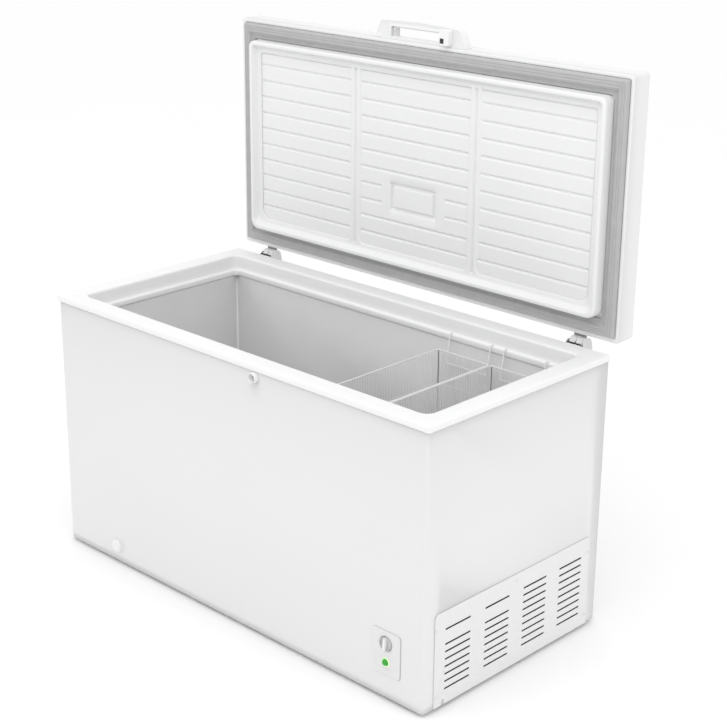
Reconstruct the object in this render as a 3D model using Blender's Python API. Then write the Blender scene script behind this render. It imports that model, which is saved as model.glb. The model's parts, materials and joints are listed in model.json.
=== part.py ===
"""Chest freezer: a wrapped steel cabinet with a stepped tub, a hinged lid that stands open, and the
machine compartment behind a louvred side cover.

Metres, +Z up, +X to the user's right, +Y to the back. The origin is on the floor, under the middle of
the whole object with its lid open. Every piece is placed in cabinet coordinates, whose origin is the
middle of the cabinet's underside, by parenting it to the empty cabinet_frame. Lid pieces are drawn
closed and hang on the empty lid_axis, which turns them open.
"""

import math

import bmesh
import bpy
from mathutils import Matrix, Vector

# ---- driving dimensions ------------------------------------------------------------------------

CAB_W, CAB_D, CAB_H = 1.427, 0.700, 0.750  # outer shell
FOOT_H, FOOT_R = 0.010, 0.021
GAP = 0.0003  # between pieces that touch
SHEET = 0.0010  # steel sheet
CORNER_R = 0.012  # front corners of the shell

COLLAR_T, COLLAR_OVER = 0.017, 0.004
OPEN_X, OPEN_Y = 0.660, 0.295  # half opening of the collar
LIP_X, LIP_Y = 0.648, 0.2835  # half opening at the basket ledge
LIP_TOP, LIP_BOTTOM = 0.724, 0.706
TUB_X, TUB_Y = 0.6495, 0.285  # half inside of the tub
TUB_FLOOR, STEP_TOP, STEP_X = 0.070, 0.330, 0.330
TUB_CORNER_R = 0.0065
LEDGE_CORNER_R = 0.005

LID_W, LID_D, LID_T = 1.430, 0.700, 0.066
LID_UNDER = 0.779  # underside of the closed lid
LID_CORNER_R, LID_RIM_R = 0.012, 0.010
PLUG_X, PLUG_Y, PLUG_DEPTH = 0.6555, 0.2910, 0.034  # raised inner panel
PLUG_RIM, RECESS = 0.027, 0.018
SEAL_MARGIN, SEAL_W = 0.014, 0.028

HINGE_Y, HINGE_Z = 0.3728, 0.764  # hinge axis
HINGE_X, HINGE_W = 0.595, 0.060
PIN_R, COVER_R = 0.0040, 0.0205
OPEN_ANGLE = 90.0

COMPARTMENT_X, COMPARTMENT_TOP = 0.395, 0.270  # machine compartment: left side and roof
GRILLE_HALF, GRILLE_TOP, GRILLE_T = 0.312, 0.262, 0.0020
SLOT_W, SLOT_H, SLOT_PITCH, SLOT_FIRST = 0.095, 0.0045, 0.0208, 0.2104
SLOT_COLUMNS = (-0.2255, -0.0735, 0.0795, 0.2300)
SLOT_ROWS = 9
BLIND_ROW = 1  # left closed in the two front columns
GRILLE_SCREWS = ((-0.3065, 0.218), (0.0015, 0.243), (0.3050, 0.218), (-0.3065, 0.032), (0.3050, 0.032))

PANEL_X, PANEL_Z, PANEL_W, PANEL_H = 0.590, 0.1255, 0.095, 0.123
KNOB_Z, LAMP_Z, KNOB_R, LAMP_R = 0.152, 0.100, 0.0195, 0.0085
LOCK_X, LOCK_Z, LOCK_R, LOCK_OUT = 0.120, 0.733, 0.0145, 0.014
DRAIN_X, DRAIN_Z, DRAIN_R, DRAIN_OUT = -0.4838, 0.0478, 0.023, 0.011
DRAIN_Y = -0.225  # upright part of the drain under the tub

HANDLE_HALF, HANDLE_TOP_HALF, HANDLE_OUT = 0.166, 0.145, 0.054
HANDLE_OPEN_HALF, HANDLE_T = 0.096, 0.028
CATCH_X, CATCH_W = 0.1035, 0.033

BASKET_RIM, BASKET_FLOOR = 0.680, 0.480
BASKETS = {"left": (0.203, 0.3885, 0.260, 0.385), "right": (0.3935, 0.6335, 0.4435, 0.5835)}
BASKET_Y, BASKET_WALL, HANGER_R = 0.2650, 0.0025, 0.0016

EVAP_R, COND_R, PIPE_R = 0.0040, 0.0024, 0.0030

LID_BACK_OUT = HINGE_Y + (LID_UNDER - HINGE_Z) + LID_T  # rearmost point with the lid open
FRONT_OUT = CAB_D / 2 + LOCK_OUT  # frontmost point
CABINET_Y = (FRONT_OUT - LID_BACK_OUT) / 2  # puts the origin under the middle of the open freezer

# ---- scene -------------------------------------------------------------------------------------

for old in list(bpy.data.objects):
    bpy.data.objects.remove(old)
for old in list(bpy.data.collections):
    bpy.data.collections.remove(old)


def new_collection(name):
    collection = bpy.data.collections.new(name)
    bpy.context.scene.collection.children.link(collection)
    return collection


PARTS = new_collection("chest_freezer")
CUTTERS = new_collection("cutters")
CUTTERS.hide_render = True


def new_empty(name, location, turn_x=0.0, parent=None):
    empty = bpy.data.objects.new(name, None)
    PARTS.objects.link(empty)
    empty.location = location
    empty.rotation_euler = (math.radians(turn_x), 0, 0)
    empty.parent = parent
    return empty


FRAME = new_empty("cabinet_frame", (0, CABINET_Y, FOOT_H))
LID_AXIS = new_empty("lid_axis", (0, HINGE_Y, HINGE_Z), -OPEN_ANGLE, FRAME)
MATERIALS = {}
LOOKS = {
    "white_paint": ((0.86, 0.86, 0.86), 0.35, 0.0),
    "white_plastic": ((0.90, 0.90, 0.89), 0.40, 0.0),
    "grey_plastic": ((0.55, 0.56, 0.57), 0.50, 0.0),
    "black_plastic": ((0.03, 0.03, 0.03), 0.50, 0.0),
    "liner_metal": ((0.62, 0.63, 0.64), 0.40, 0.5),
    "foam": ((0.85, 0.80, 0.55), 0.95, 0.0),
    "gasket_rubber": ((0.55, 0.55, 0.55), 0.60, 0.0),
    "black_rubber": ((0.03, 0.03, 0.03), 0.80, 0.0),
    "zinc_steel": ((0.70, 0.70, 0.70), 0.30, 1.0),
    "white_wire": ((0.85, 0.85, 0.85), 0.40, 0.0),
    "black_paint": ((0.02, 0.02, 0.02), 0.35, 0.0),
    "copper": ((0.80, 0.45, 0.28), 0.30, 1.0),
    "green_lens": ((0.02, 0.55, 0.05), 0.15, 0.0),
}


def material(slot):
    """The Principled material of a slot, made once."""
    if slot not in MATERIALS:
        colour, roughness, metallic = LOOKS[slot]
        made = bpy.data.materials.new(slot)
        made.use_nodes = True
        shader = made.node_tree.nodes["Principled BSDF"]
        shader.inputs["Base Color"].default_value = (*colour, 1)
        shader.inputs["Roughness"].default_value = roughness
        shader.inputs["Metallic"].default_value = metallic
        MATERIALS[slot] = made
    return MATERIALS[slot]


# ---- modelling helpers -------------------------------------------------------------------------


def finish(bm, name, slot=None, parent=FRAME):
    """Makes the bmesh an object: a part with the slot's material, or a cutter when slot is None."""
    mesh = bpy.data.meshes.new(name)
    bmesh.ops.recalc_face_normals(bm, faces=bm.faces)
    bm.to_mesh(mesh)
    bm.free()
    made = bpy.data.objects.new(name, mesh)
    made.parent = parent
    if slot is None:
        CUTTERS.objects.link(made)
        made.hide_render = True
        made.display_type = "WIRE"
    else:
        PARTS.objects.link(made)
        mesh.materials.append(material(slot))
        mesh.shade_smooth()
        mesh.set_sharp_from_angle(angle=math.radians(35))
    if parent is LID_AXIS:
        mesh.transform(Matrix.Translation((0, -HINGE_Y, -HINGE_Z)))
    return made


def centre_on(piece, point):
    """Moves the origin of a piece to a point of its parent, and leaves its mesh in place."""
    point = Vector(point)
    piece.data.transform(Matrix.Translation(-point))
    piece.location = point
    return piece


def block(low, high, radius=0.0, along="", segments=4):
    """A bmesh box between two corners, whose edges along the axes in `along` are rounded."""
    bm = bmesh.new()
    low, high = Vector(low), Vector(high)
    size = high - low
    matrix = Matrix.Translation((low + high) / 2) @ Matrix.Diagonal((*size, 1))
    bmesh.ops.create_cube(bm, size=1, matrix=matrix)
    if radius:
        axes = ["XYZ".index(letter) for letter in along]
        edges = [e for e in bm.edges if any(abs((e.verts[0].co - e.verts[1].co)[i]) > 1e-6 for i in axes)]
        bmesh.ops.bevel(bm, geom=edges, offset=radius, offset_type="OFFSET", segments=segments,
                        profile=0.5, affect="EDGES", material=-1)
    return bm


def half_rounded(low, high, radius, keep, segments=4):
    """A box whose edges along Z are rounded where keep(x, y) is true."""
    bm = block(low, high)
    edges = [e for e in bm.edges if abs(e.verts[0].co.z - e.verts[1].co.z) > 1e-6
             and keep(e.verts[0].co.x, e.verts[0].co.y)]
    bmesh.ops.bevel(bm, geom=edges, offset=radius, offset_type="OFFSET", segments=segments,
                    profile=0.5, affect="EDGES", material=-1)
    return bm


TURNS = {"X": Matrix.Rotation(math.pi / 2, 4, "Y"), "Y": Matrix.Rotation(-math.pi / 2, 4, "X"),
         "Z": Matrix.Identity(4)}


def rod(centre, radius, length, axis="Z", segments=24, far_radius=None):
    """A bmesh cylinder, or a cone with far_radius at the axis's far end."""
    bm = bmesh.new()
    matrix = Matrix.Translation(centre) @ TURNS[axis]
    bmesh.ops.create_cone(bm, cap_ends=True, segments=segments, radius1=radius,
                          radius2=radius if far_radius is None else far_radius, depth=length, matrix=matrix)
    return bm


def boolean(piece, other, operation="DIFFERENCE"):
    step = piece.modifiers.new(other.name, "BOOLEAN")
    step.operation = operation
    step.object = other
    step.solver = "EXACT"
    return piece


def cut(piece, bm, name):
    return boolean(piece, finish(bm, name, parent=piece_frame(piece)))


def join(piece, bm, name):
    return boolean(piece, finish(bm, name, parent=piece_frame(piece)), "UNION")


def piece_frame(piece):
    return LID_AXIS if piece.parent is LID_AXIS else FRAME


def tube(name, points, radius, slot, closed=False):
    """A bent tube through the points, as a curve with filled caps."""
    curve = bpy.data.curves.new(name, "CURVE")
    curve.dimensions = "3D"
    curve.bevel_depth = radius
    curve.bevel_resolution = 2
    curve.use_fill_caps = not closed
    spline = curve.splines.new("POLY")
    spline.points.add(len(points) - 1)
    for target, point in zip(spline.points, points):
        target.co = (*point, 1)
    spline.use_cyclic_u = closed
    curve.materials.append(material(slot))
    made = bpy.data.objects.new(name, curve)
    made.parent = FRAME
    PARTS.objects.link(made)
    return made


def as_mesh(curve_object, collection=None):
    """Replaces a curve object by its welded mesh, so that a Boolean can use it."""
    name, parent = curve_object.name, curve_object.parent
    bpy.context.view_layer.update()
    graph = bpy.context.evaluated_depsgraph_get()
    mesh = bpy.data.meshes.new_from_object(curve_object.evaluated_get(graph))
    bm = bmesh.new()
    bm.from_mesh(mesh)
    bmesh.ops.remove_doubles(bm, verts=bm.verts, dist=1e-6)
    bmesh.ops.recalc_face_normals(bm, faces=bm.faces)
    bm.to_mesh(mesh)
    bm.free()
    bpy.data.objects.remove(curve_object)
    made = bpy.data.objects.new(name, mesh)
    made.parent = parent
    (collection or PARTS).objects.link(made)
    if collection is CUTTERS:
        made.hide_render = True
        made.display_type = "WIRE"
    return made


def rounded_path(corners, radius, steps=3):
    """The corner points of a path, with each inner corner replaced by an arc of that radius."""
    corners = [Vector(corner) for corner in corners]
    path = [corners[0]]
    for before, corner, after in zip(corners, corners[1:], corners[2:]):
        back, ahead = (before - corner).normalized(), (after - corner).normalized()
        half = back.angle(ahead) / 2
        reach = radius / math.tan(half)
        centre = corner + (back + ahead).normalized() * radius / math.sin(half)
        start, end = (corner + back * reach - centre).normalized(), (corner + ahead * reach - centre).normalized()
        for step in range(steps + 1):
            path.append(centre + start.slerp(end, step / steps) * radius)
    path.append(corners[-1])
    return path


# ---- cabinet -----------------------------------------------------------------------------------


def outer_shell():
    """Front and both sides in one bent sheet, open at the back, the bottom and the top."""
    half_w, half_d = CAB_W / 2, CAB_D / 2
    back = half_d - SHEET - GAP

    def is_front(x, y):
        return y < 0

    shell = finish(half_rounded((-half_w, -half_d, 0), (half_w, back, CAB_H), CORNER_R, is_front),
                   "outer_shell", "white_paint")
    inside = half_rounded((-half_w + SHEET, -half_d + SHEET, -0.01), (half_w - SHEET, back + 0.01, CAB_H + 0.01),
                          CORNER_R - SHEET, is_front)
    cut(shell, inside, "cut_shell_inside")
    side = block((half_w - 0.01, -0.285, 0.022), (half_w + 0.01, 0.285, 0.232), 0.01, "X")
    cut(shell, side, "cut_shell_side")
    panel = block((PANEL_X - 0.040, -half_d - 0.01, PANEL_Z - 0.054),
                  (PANEL_X + 0.040, -half_d + 0.01, PANEL_Z + 0.054), 0.008, "Y")
    cut(shell, panel, "cut_shell_panel")
    cut(shell, rod((LOCK_X, -half_d, LOCK_Z), 0.0105, 0.02, "Y"), "cut_shell_lock")
    cut(shell, rod((DRAIN_X, -half_d, DRAIN_Z), 0.0145, 0.02, "Y"), "cut_shell_drain")


def rear_panel():
    half_w, half_d = CAB_W / 2, CAB_D / 2
    rear = finish(block((-half_w, half_d - SHEET, 0), (half_w, half_d, CAB_H)), "rear_panel", "white_paint")
    for row in range(5):
        z = 0.070 + row * 0.030
        slot = block((0.47, half_d - 0.01, z), (0.63, half_d + 0.01, z + 0.008))
        cut(rear, slot, f"cut_rear_slot_{row + 1}")
    cut(rear, rod((0.44, half_d, 0.050), 0.0090, 0.02, "Y"), "cut_rear_gland")
    return rear


def base_pan():
    half_w, half_d = CAB_W / 2 - SHEET - GAP, CAB_D / 2 - SHEET - GAP
    finish(block((-half_w, -half_d, 0), (half_w, half_d, SHEET), CORNER_R, "Z"), "base_pan", "zinc_steel")


def feet():
    places = {"front_left": (-0.6205, -0.3090), "front_right": (0.6205, -0.3090),
              "rear_left": (-0.6205, 0.3090), "rear_right": (0.6205, 0.3090)}
    for name, (x, y) in places.items():
        foot = rod((x, y, -FOOT_H / 2 - GAP / 2), FOOT_R, FOOT_H - GAP, segments=28)
        finish(foot, f"foot_{name}", "grey_plastic")


def tub_shape(grow, top, name, slot=None):
    """The tub's stepped block, its inside grown by `grow` on every face but the top."""
    x, y = TUB_X + grow, TUB_Y + grow
    radius = TUB_CORNER_R + grow
    tub = finish(block((-x, -y, TUB_FLOOR - grow), (x, y, top), radius, "Z"), name, slot)
    step = block((STEP_X + grow, -1, -1), (1, 1, STEP_TOP - grow))
    return cut(tub, step, f"cut_{name}_step")


def keep(piece, low, high, name):
    """Leaves only what lies inside a box."""
    boolean(piece, finish(block(low, high), name), "INTERSECT")


def inner_liner():
    """Six sheets of one stepped tub: each wall, the floor and the step."""
    edge_x, edge_y = TUB_X - TUB_CORNER_R, TUB_Y - TUB_CORNER_R
    side_y = edge_y - GAP
    sections = {
        "liner_front": ((-1, -1, -1), (1, -edge_y, 1)),
        "liner_back": ((-1, edge_y, -1), (1, 1, 1)),
        "liner_left": ((-1, -side_y, -1), (-edge_x, side_y, 1)),
        "liner_right": ((edge_x, -side_y, -1), (1, side_y, 1)),
        "liner_floor": ((-edge_x + GAP, -side_y, -1), (STEP_X - GAP, side_y, 0.2)),
        "liner_step": ((STEP_X, -side_y, -1), (edge_x - GAP, side_y, STEP_TOP + 0.1)),
    }
    for name, (low, high) in sections.items():
        sheet = tub_shape(SHEET, LIP_BOTTOM - GAP, name, "liner_metal")
        boolean(sheet, tub_shape(0.0, CAB_H + 0.1, f"cut_{name}_inside"))
        keep(sheet, low, high, f"keep_{name}")
        if name == "liner_floor":
            cut(sheet, rod((DRAIN_X, DRAIN_Y, TUB_FLOOR), 0.0105, 0.02), "cut_liner_drain")


def insulation():
    """Foam between the shell and the tub, clear of both tube coils and of the machine compartment."""
    x, y = CAB_W / 2 - SHEET - 2 * COND_R - 0.0016, CAB_D / 2 - SHEET - 2 * COND_R - 0.0016
    top = CAB_H - GAP
    foam = finish(block((-x, -y, SHEET + GAP), (x, y, top), 0.016, "Z", 4), "insulation", "foam")
    grow = SHEET + 2 * EVAP_R + 0.0018
    boolean(foam, tub_shape(grow, CAB_H + 0.1, "cut_foam_tub"))
    mouth = block((-OPEN_X - 0.0028, -OPEN_Y - 0.0028, LIP_BOTTOM - 0.012),
                  (OPEN_X + 0.0028, OPEN_Y + 0.0028, CAB_H + 0.1), LEDGE_CORNER_R + 0.0028, "Z")
    cut(foam, mouth, "cut_foam_mouth")
    cut(foam, block((COMPARTMENT_X, -1, -1), (1, 1, COMPARTMENT_TOP)), "cut_foam_compartment")
    cut(foam, rod((LOCK_X, -y, LOCK_Z), 0.0120, 0.046, "Y"), "cut_foam_lock")
    cut(foam, rod((DRAIN_X, -0.29, DRAIN_Z), 0.0103, 0.16, "Y", 16), "cut_foam_drain")
    cut(foam, rod((DRAIN_X, DRAIN_Y, 0.055), 0.0130, 0.040, "Z", 16), "cut_foam_drain_upright")
    cut(foam, rod((DRAIN_X, -y, DRAIN_Z), 0.0150, 0.070, "Y"), "cut_foam_drain_mouth")


def top_collar(name, low, high):
    """One side of the top flange, with its skirt down into the tub and the ledge that the baskets hang on."""
    outer_x, outer_y = CAB_W / 2 + COLLAR_OVER, CAB_D / 2 + COLLAR_OVER
    top, wall, corner = CAB_H + COLLAR_T, 0.0022, LEDGE_CORNER_R
    collar = finish(block((-outer_x, -outer_y, CAB_H + GAP), (outer_x, outer_y, top), 0.004, "Z", 2), name,
                    "white_plastic")
    skirt = block((-OPEN_X - wall, -OPEN_Y - wall, LIP_BOTTOM), (OPEN_X + wall, OPEN_Y + wall, top - 0.002),
                  corner + wall, "Z")
    join(collar, skirt, f"add_{name}_skirt")
    opening = block((-OPEN_X, -OPEN_Y, LIP_TOP), (OPEN_X, OPEN_Y, top + 0.1), corner, "Z")
    cut(collar, opening, f"cut_{name}_opening")
    ledge = block((-LIP_X, -LIP_Y, LIP_BOTTOM - 0.1), (LIP_X, LIP_Y, top + 0.1), corner, "Z")
    cut(collar, ledge, f"cut_{name}_ledge")
    keep(collar, low, high, f"keep_{name}")


def collar_sides():
    edge_x, edge_y = LIP_X - LEDGE_CORNER_R, LIP_Y - LEDGE_CORNER_R
    side_y = edge_y - GAP
    top_collar("collar_front", (-1, -1, 0), (1, -edge_y, 1))
    top_collar("collar_back", (-1, edge_y, 0), (1, 1, 1))
    top_collar("collar_left", (-1, -side_y, 0), (-edge_x, side_y, 1))
    top_collar("collar_right", (edge_x, -side_y, 0), (1, side_y, 1))


def side_grille():
    x = CAB_W / 2 + GAP
    grille = finish(block((x, -GRILLE_HALF, 0.001), (x + GRILLE_T, GRILLE_HALF, GRILLE_TOP), 0.012, "X"),
                    "side_grille", "white_paint")
    for column, y in enumerate(SLOT_COLUMNS):
        for row in range(SLOT_ROWS):
            if row == BLIND_ROW and column < 2:
                continue
            z = SLOT_FIRST - row * SLOT_PITCH
            slot = block((x - 0.01, y - SLOT_W / 2, z - SLOT_H / 2), (x + 0.01, y + SLOT_W / 2, z + SLOT_H / 2))
            cut(grille, slot, f"cut_grille_{column + 1}_{row + 1}")
    cut(grille, block((x - 0.01, -0.282, -0.01), (x + 0.01, -0.270, 0.015)), "cut_grille_notch")
    for index, (y, z) in enumerate(GRILLE_SCREWS):
        cut(grille, rod((x, y, z), 0.0018, 0.02, "X", 10), f"cut_grille_screw_{index + 1}")
        cut(bpy.data.objects["outer_shell"], rod((x, y, z), 0.0018, 0.02, "X", 10), f"cut_shell_screw_{index + 1}")
        head = rod((x + GRILLE_T + GAP + 0.0006, y, z), 0.0034, 0.0012, "X", 12)
        screw = finish(head, f"grille_screw_{index + 1}", "zinc_steel")
        join(screw, rod((x - 0.0028, y, z), 0.0015, 0.0110, "X", 10), f"add_screw_{index + 1}_shank")


def control_panel():
    """A plate over the front opening, with the knob, the lamp and the thermostat behind it."""
    front = -CAB_D / 2
    half_w, half_h = PANEL_W / 2, PANEL_H / 2
    panel = finish(block((PANEL_X - half_w, front - GAP - 0.0022, PANEL_Z - half_h),
                         (PANEL_X + half_w, front - GAP, PANEL_Z + half_h), 0.010, "Y"),
                   "control_panel", "white_plastic")
    tray = block((PANEL_X - 0.0385, front - 0.001, PANEL_Z - 0.0525), (PANEL_X + 0.0385, front + 0.009,
                 PANEL_Z + 0.0525), 0.007, "Y")
    join(panel, tray, "add_panel_tray")
    dish = block((PANEL_X - 0.037, front - 0.0005, LAMP_Z - 0.019), (PANEL_X + 0.037, front + 0.020,
                 LAMP_Z + 0.019), 0.016, "Y")
    cut(panel, dish, "cut_panel_back")
    cut(panel, rod((PANEL_X, front, KNOB_Z), 0.0045, 0.05, "Y", 20), "cut_panel_spindle")
    cut(panel, rod((PANEL_X, front - 0.011, KNOB_Z), KNOB_R + 0.0012, 0.022, "Y", 32), "cut_panel_knob_well")
    cut(panel, rod((PANEL_X, front, LAMP_Z), LAMP_R + GAP, 0.05, "Y", 20), "cut_panel_lamp")
    lamp = finish(rod((PANEL_X, front + 0.002, LAMP_Z), LAMP_R, 0.012, "Y", 20), "power_lamp", "green_lens")
    return panel, lamp


def thermostat():
    front = -CAB_D / 2
    knob_back = front - 0.0008
    knob = finish(rod((PANEL_X, knob_back - 0.0055, KNOB_Z), KNOB_R - 0.0008, 0.011, "Y", 32, KNOB_R),
                  "thermostat_knob", "grey_plastic")
    for side in (-1, 1):
        scoop = block((PANEL_X + side * 0.0035 if side > 0 else PANEL_X - 0.030, front - 0.03, KNOB_Z - 0.03),
                      (PANEL_X + 0.030 if side > 0 else PANEL_X - 0.0035, knob_back - 0.0040, KNOB_Z + 0.03))
        cut(knob, scoop, f"cut_knob_{'right' if side > 0 else 'left'}")
    join(knob, rod((PANEL_X, front + 0.008, KNOB_Z), 0.0028, 0.022, "Y", 16), "add_knob_spindle")
    centre_on(knob, (PANEL_X, front, KNOB_Z))
    body = finish(block((PANEL_X - 0.022, front + 0.0125, KNOB_Z - 0.020), (PANEL_X + 0.022, front + 0.045,
                        KNOB_Z + 0.020), 0.004, "Y", 2), "thermostat_body", "zinc_steel")
    cut(body, rod((PANEL_X, front + 0.012, KNOB_Z), 0.0034, 0.030, "Y", 16), "cut_thermostat_spindle")


def lock():
    front = -CAB_D / 2
    bezel = finish(rod((LOCK_X, front - GAP - 0.006, LOCK_Z), LOCK_R - 0.0015, 0.012, "Y", 28, LOCK_R),
                   "lock_housing", "white_plastic")
    join(bezel, rod((LOCK_X, front + 0.008, LOCK_Z), 0.0100, 0.026, "Y", 24), "add_lock_barrel")
    cut(bezel, rod((LOCK_X, front, LOCK_Z), 0.0078, 0.08, "Y", 24), "cut_lock_bore")
    plug = finish(rod((LOCK_X, front - 0.0020, LOCK_Z), 0.0075, 0.024, "Y", 24), "lock_cylinder", "zinc_steel")
    cut(plug, block((LOCK_X - 0.0009, front - 0.03, LOCK_Z - 0.0038), (LOCK_X + 0.0009, front - 0.008,
        LOCK_Z + 0.0038)), "cut_lock_keyway")
    centre_on(plug, (LOCK_X, front, LOCK_Z))


def drain():
    """Outlet tube in the foam, the spout that pulls out of it, its turning dial and the inside plug."""
    front = -CAB_D / 2
    outlet = finish(rod((DRAIN_X, front - GAP - 0.001, DRAIN_Z), DRAIN_R, 0.002, "Y", 32), "drain_outlet",
                    "white_plastic")
    length = DRAIN_Y - front + 0.0095
    join(outlet, rod((DRAIN_X, front - 0.002 + length / 2, DRAIN_Z), 0.0098, length, "Y", 24), "add_drain_run")
    join(outlet, rod((DRAIN_X, DRAIN_Y, 0.0575), 0.0125, 0.0225, "Z", 24), "add_drain_upright")
    cut(outlet, rod((DRAIN_X, front + 0.052, DRAIN_Z), 0.0085, 0.115, "Y", 24), "cut_drain_run")
    cut(outlet, rod((DRAIN_X, DRAIN_Y, 0.0640), 0.0085, 0.040, "Z", 24), "cut_drain_upright")
    spout = finish(rod((DRAIN_X, front + 0.020, DRAIN_Z), 0.0080, 0.050, "Y", 24), "drain_spout",
                   "white_plastic")
    cut(spout, rod((DRAIN_X, front + 0.020, DRAIN_Z), 0.0060, 0.060, "Y", 24), "cut_spout_bore")
    centre_on(spout, (DRAIN_X, front, DRAIN_Z))
    dial = finish(rod((DRAIN_X, front - 0.0026 - 0.0042, DRAIN_Z), DRAIN_R - 0.003, 0.0084, "Y", 32),
                  "drain_dial", "white_plastic")
    cut(dial, rod((DRAIN_X, front, DRAIN_Z), 0.0083, 0.0140, "Y", 24), "cut_dial_socket")
    centre_on(dial, (DRAIN_X, front, DRAIN_Z))
    plug = finish(rod((DRAIN_X, DRAIN_Y, TUB_FLOOR + GAP + 0.002), 0.0150, 0.004, "Z", 24), "drain_plug",
                  "white_plastic")
    join(plug, rod((DRAIN_X, DRAIN_Y, TUB_FLOOR - 0.004), 0.0080, 0.014, "Z", 20), "add_plug_stem")
    centre_on(plug, (DRAIN_X, DRAIN_Y, TUB_FLOOR))


# ---- cooling system ----------------------------------------------------------------------------


def ring_path(half_x, half_y, corner, low, high, turns, steps=3):
    """A rising rectangular coil with rounded corners."""
    loop = []
    for cx, cy, first in ((half_x, half_y, 0), (-half_x, half_y, 90), (-half_x, -half_y, 180),
                          (half_x, -half_y, 270)):
        centre = Vector((math.copysign(half_x - corner, cx), math.copysign(half_y - corner, cy)))
        for step in range(steps + 1):
            angle = math.radians(first + 90 * step / steps)
            loop.append(centre + corner * Vector((math.cos(angle), math.sin(angle))))
    total = turns * len(loop)
    return [(loop[i % len(loop)].x, loop[i % len(loop)].y, low + (high - low) * i / (total - 1))
            for i in range(total)]


def coils():
    grow = SHEET + EVAP_R + 0.0010
    path = ring_path(TUB_X + grow, TUB_Y + grow, TUB_CORNER_R + grow, 0.375, 0.660, 4, 4)
    tube("evaporator_coil", path, EVAP_R, "copper")
    inset = SHEET + COND_R + 0.0008
    path = ring_path(CAB_W / 2 - inset, CAB_D / 2 - inset, 0.014, 0.300, 0.640, 4)
    tube("condenser_coil", path, COND_R, "copper")


def compressor():
    x, y = 0.555, 0.060
    tray = finish(block((0.405, -0.120, 0.0013), (0.7000, 0.240, 0.0033)), "compressor_tray", "zinc_steel")
    pot = finish(rod((x, y, 0.0950), 0.080, 0.120, segments=32), "compressor", "black_paint")
    dome = bmesh.new()
    bmesh.ops.create_uvsphere(dome, u_segments=32, v_segments=12, radius=0.080,
                              matrix=Matrix.Translation((x, y, 0.150)) @ Matrix.Diagonal((1, 1, 0.55, 1)))
    join(pot, dome, "add_compressor_dome")
    join(pot, block((x - 0.100, y - 0.075, 0.0222), (x + 0.100, y + 0.075, 0.0402), 0.012, "Z"),
         "add_compressor_base")
    for index, (dx, dy) in enumerate(((-0.085, -0.060), (0.085, -0.060), (-0.085, 0.060), (0.085, 0.060))):
        grommet = rod((x + dx, y + dy, 0.0036 + 0.011), 0.012, 0.022, segments=16)
        join(pot, grommet, f"add_compressor_grommet_{index + 1}")
    join(pot, block((x - 0.132, y - 0.030, 0.085), (x - 0.070, y + 0.030, 0.150), 0.006, "Y", 2),
         "add_compressor_terminals")
    drier = finish(rod((0.450, -0.200, 0.120), 0.0100, 0.090, "Z", 16), "filter_drier", "copper")
    suction = rounded_path([(x, y - 0.0835, 0.110), (x, y - 0.140, 0.110), (x, y - 0.140, 0.235),
                            (0.420, y - 0.140, 0.235)], 0.018)
    tube("suction_tube", suction, PIPE_R, "copper")
    discharge = rounded_path([(x + 0.0835, y, 0.120), (x + 0.115, y, 0.120), (x + 0.115, y, 0.240),
                              (x + 0.115, 0.300, 0.240)], 0.014)
    tube("discharge_tube", discharge, PIPE_R, "copper")
    return tray, drier


def gland():
    back = CAB_D / 2
    collar = finish(rod((0.44, back + GAP + 0.005, 0.050), 0.0130, 0.010, "Y", 20, 0.0100), "cord_gland",
                    "black_plastic")
    join(collar, rod((0.44, back, 0.050), 0.0085, 0.016, "Y", 20), "add_gland_neck")
    cut(collar, rod((0.44, back, 0.050), 0.0045, 0.06, "Y", 16), "cut_gland_bore")


# ---- hinges ------------------------------------------------------------------------------------


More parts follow.
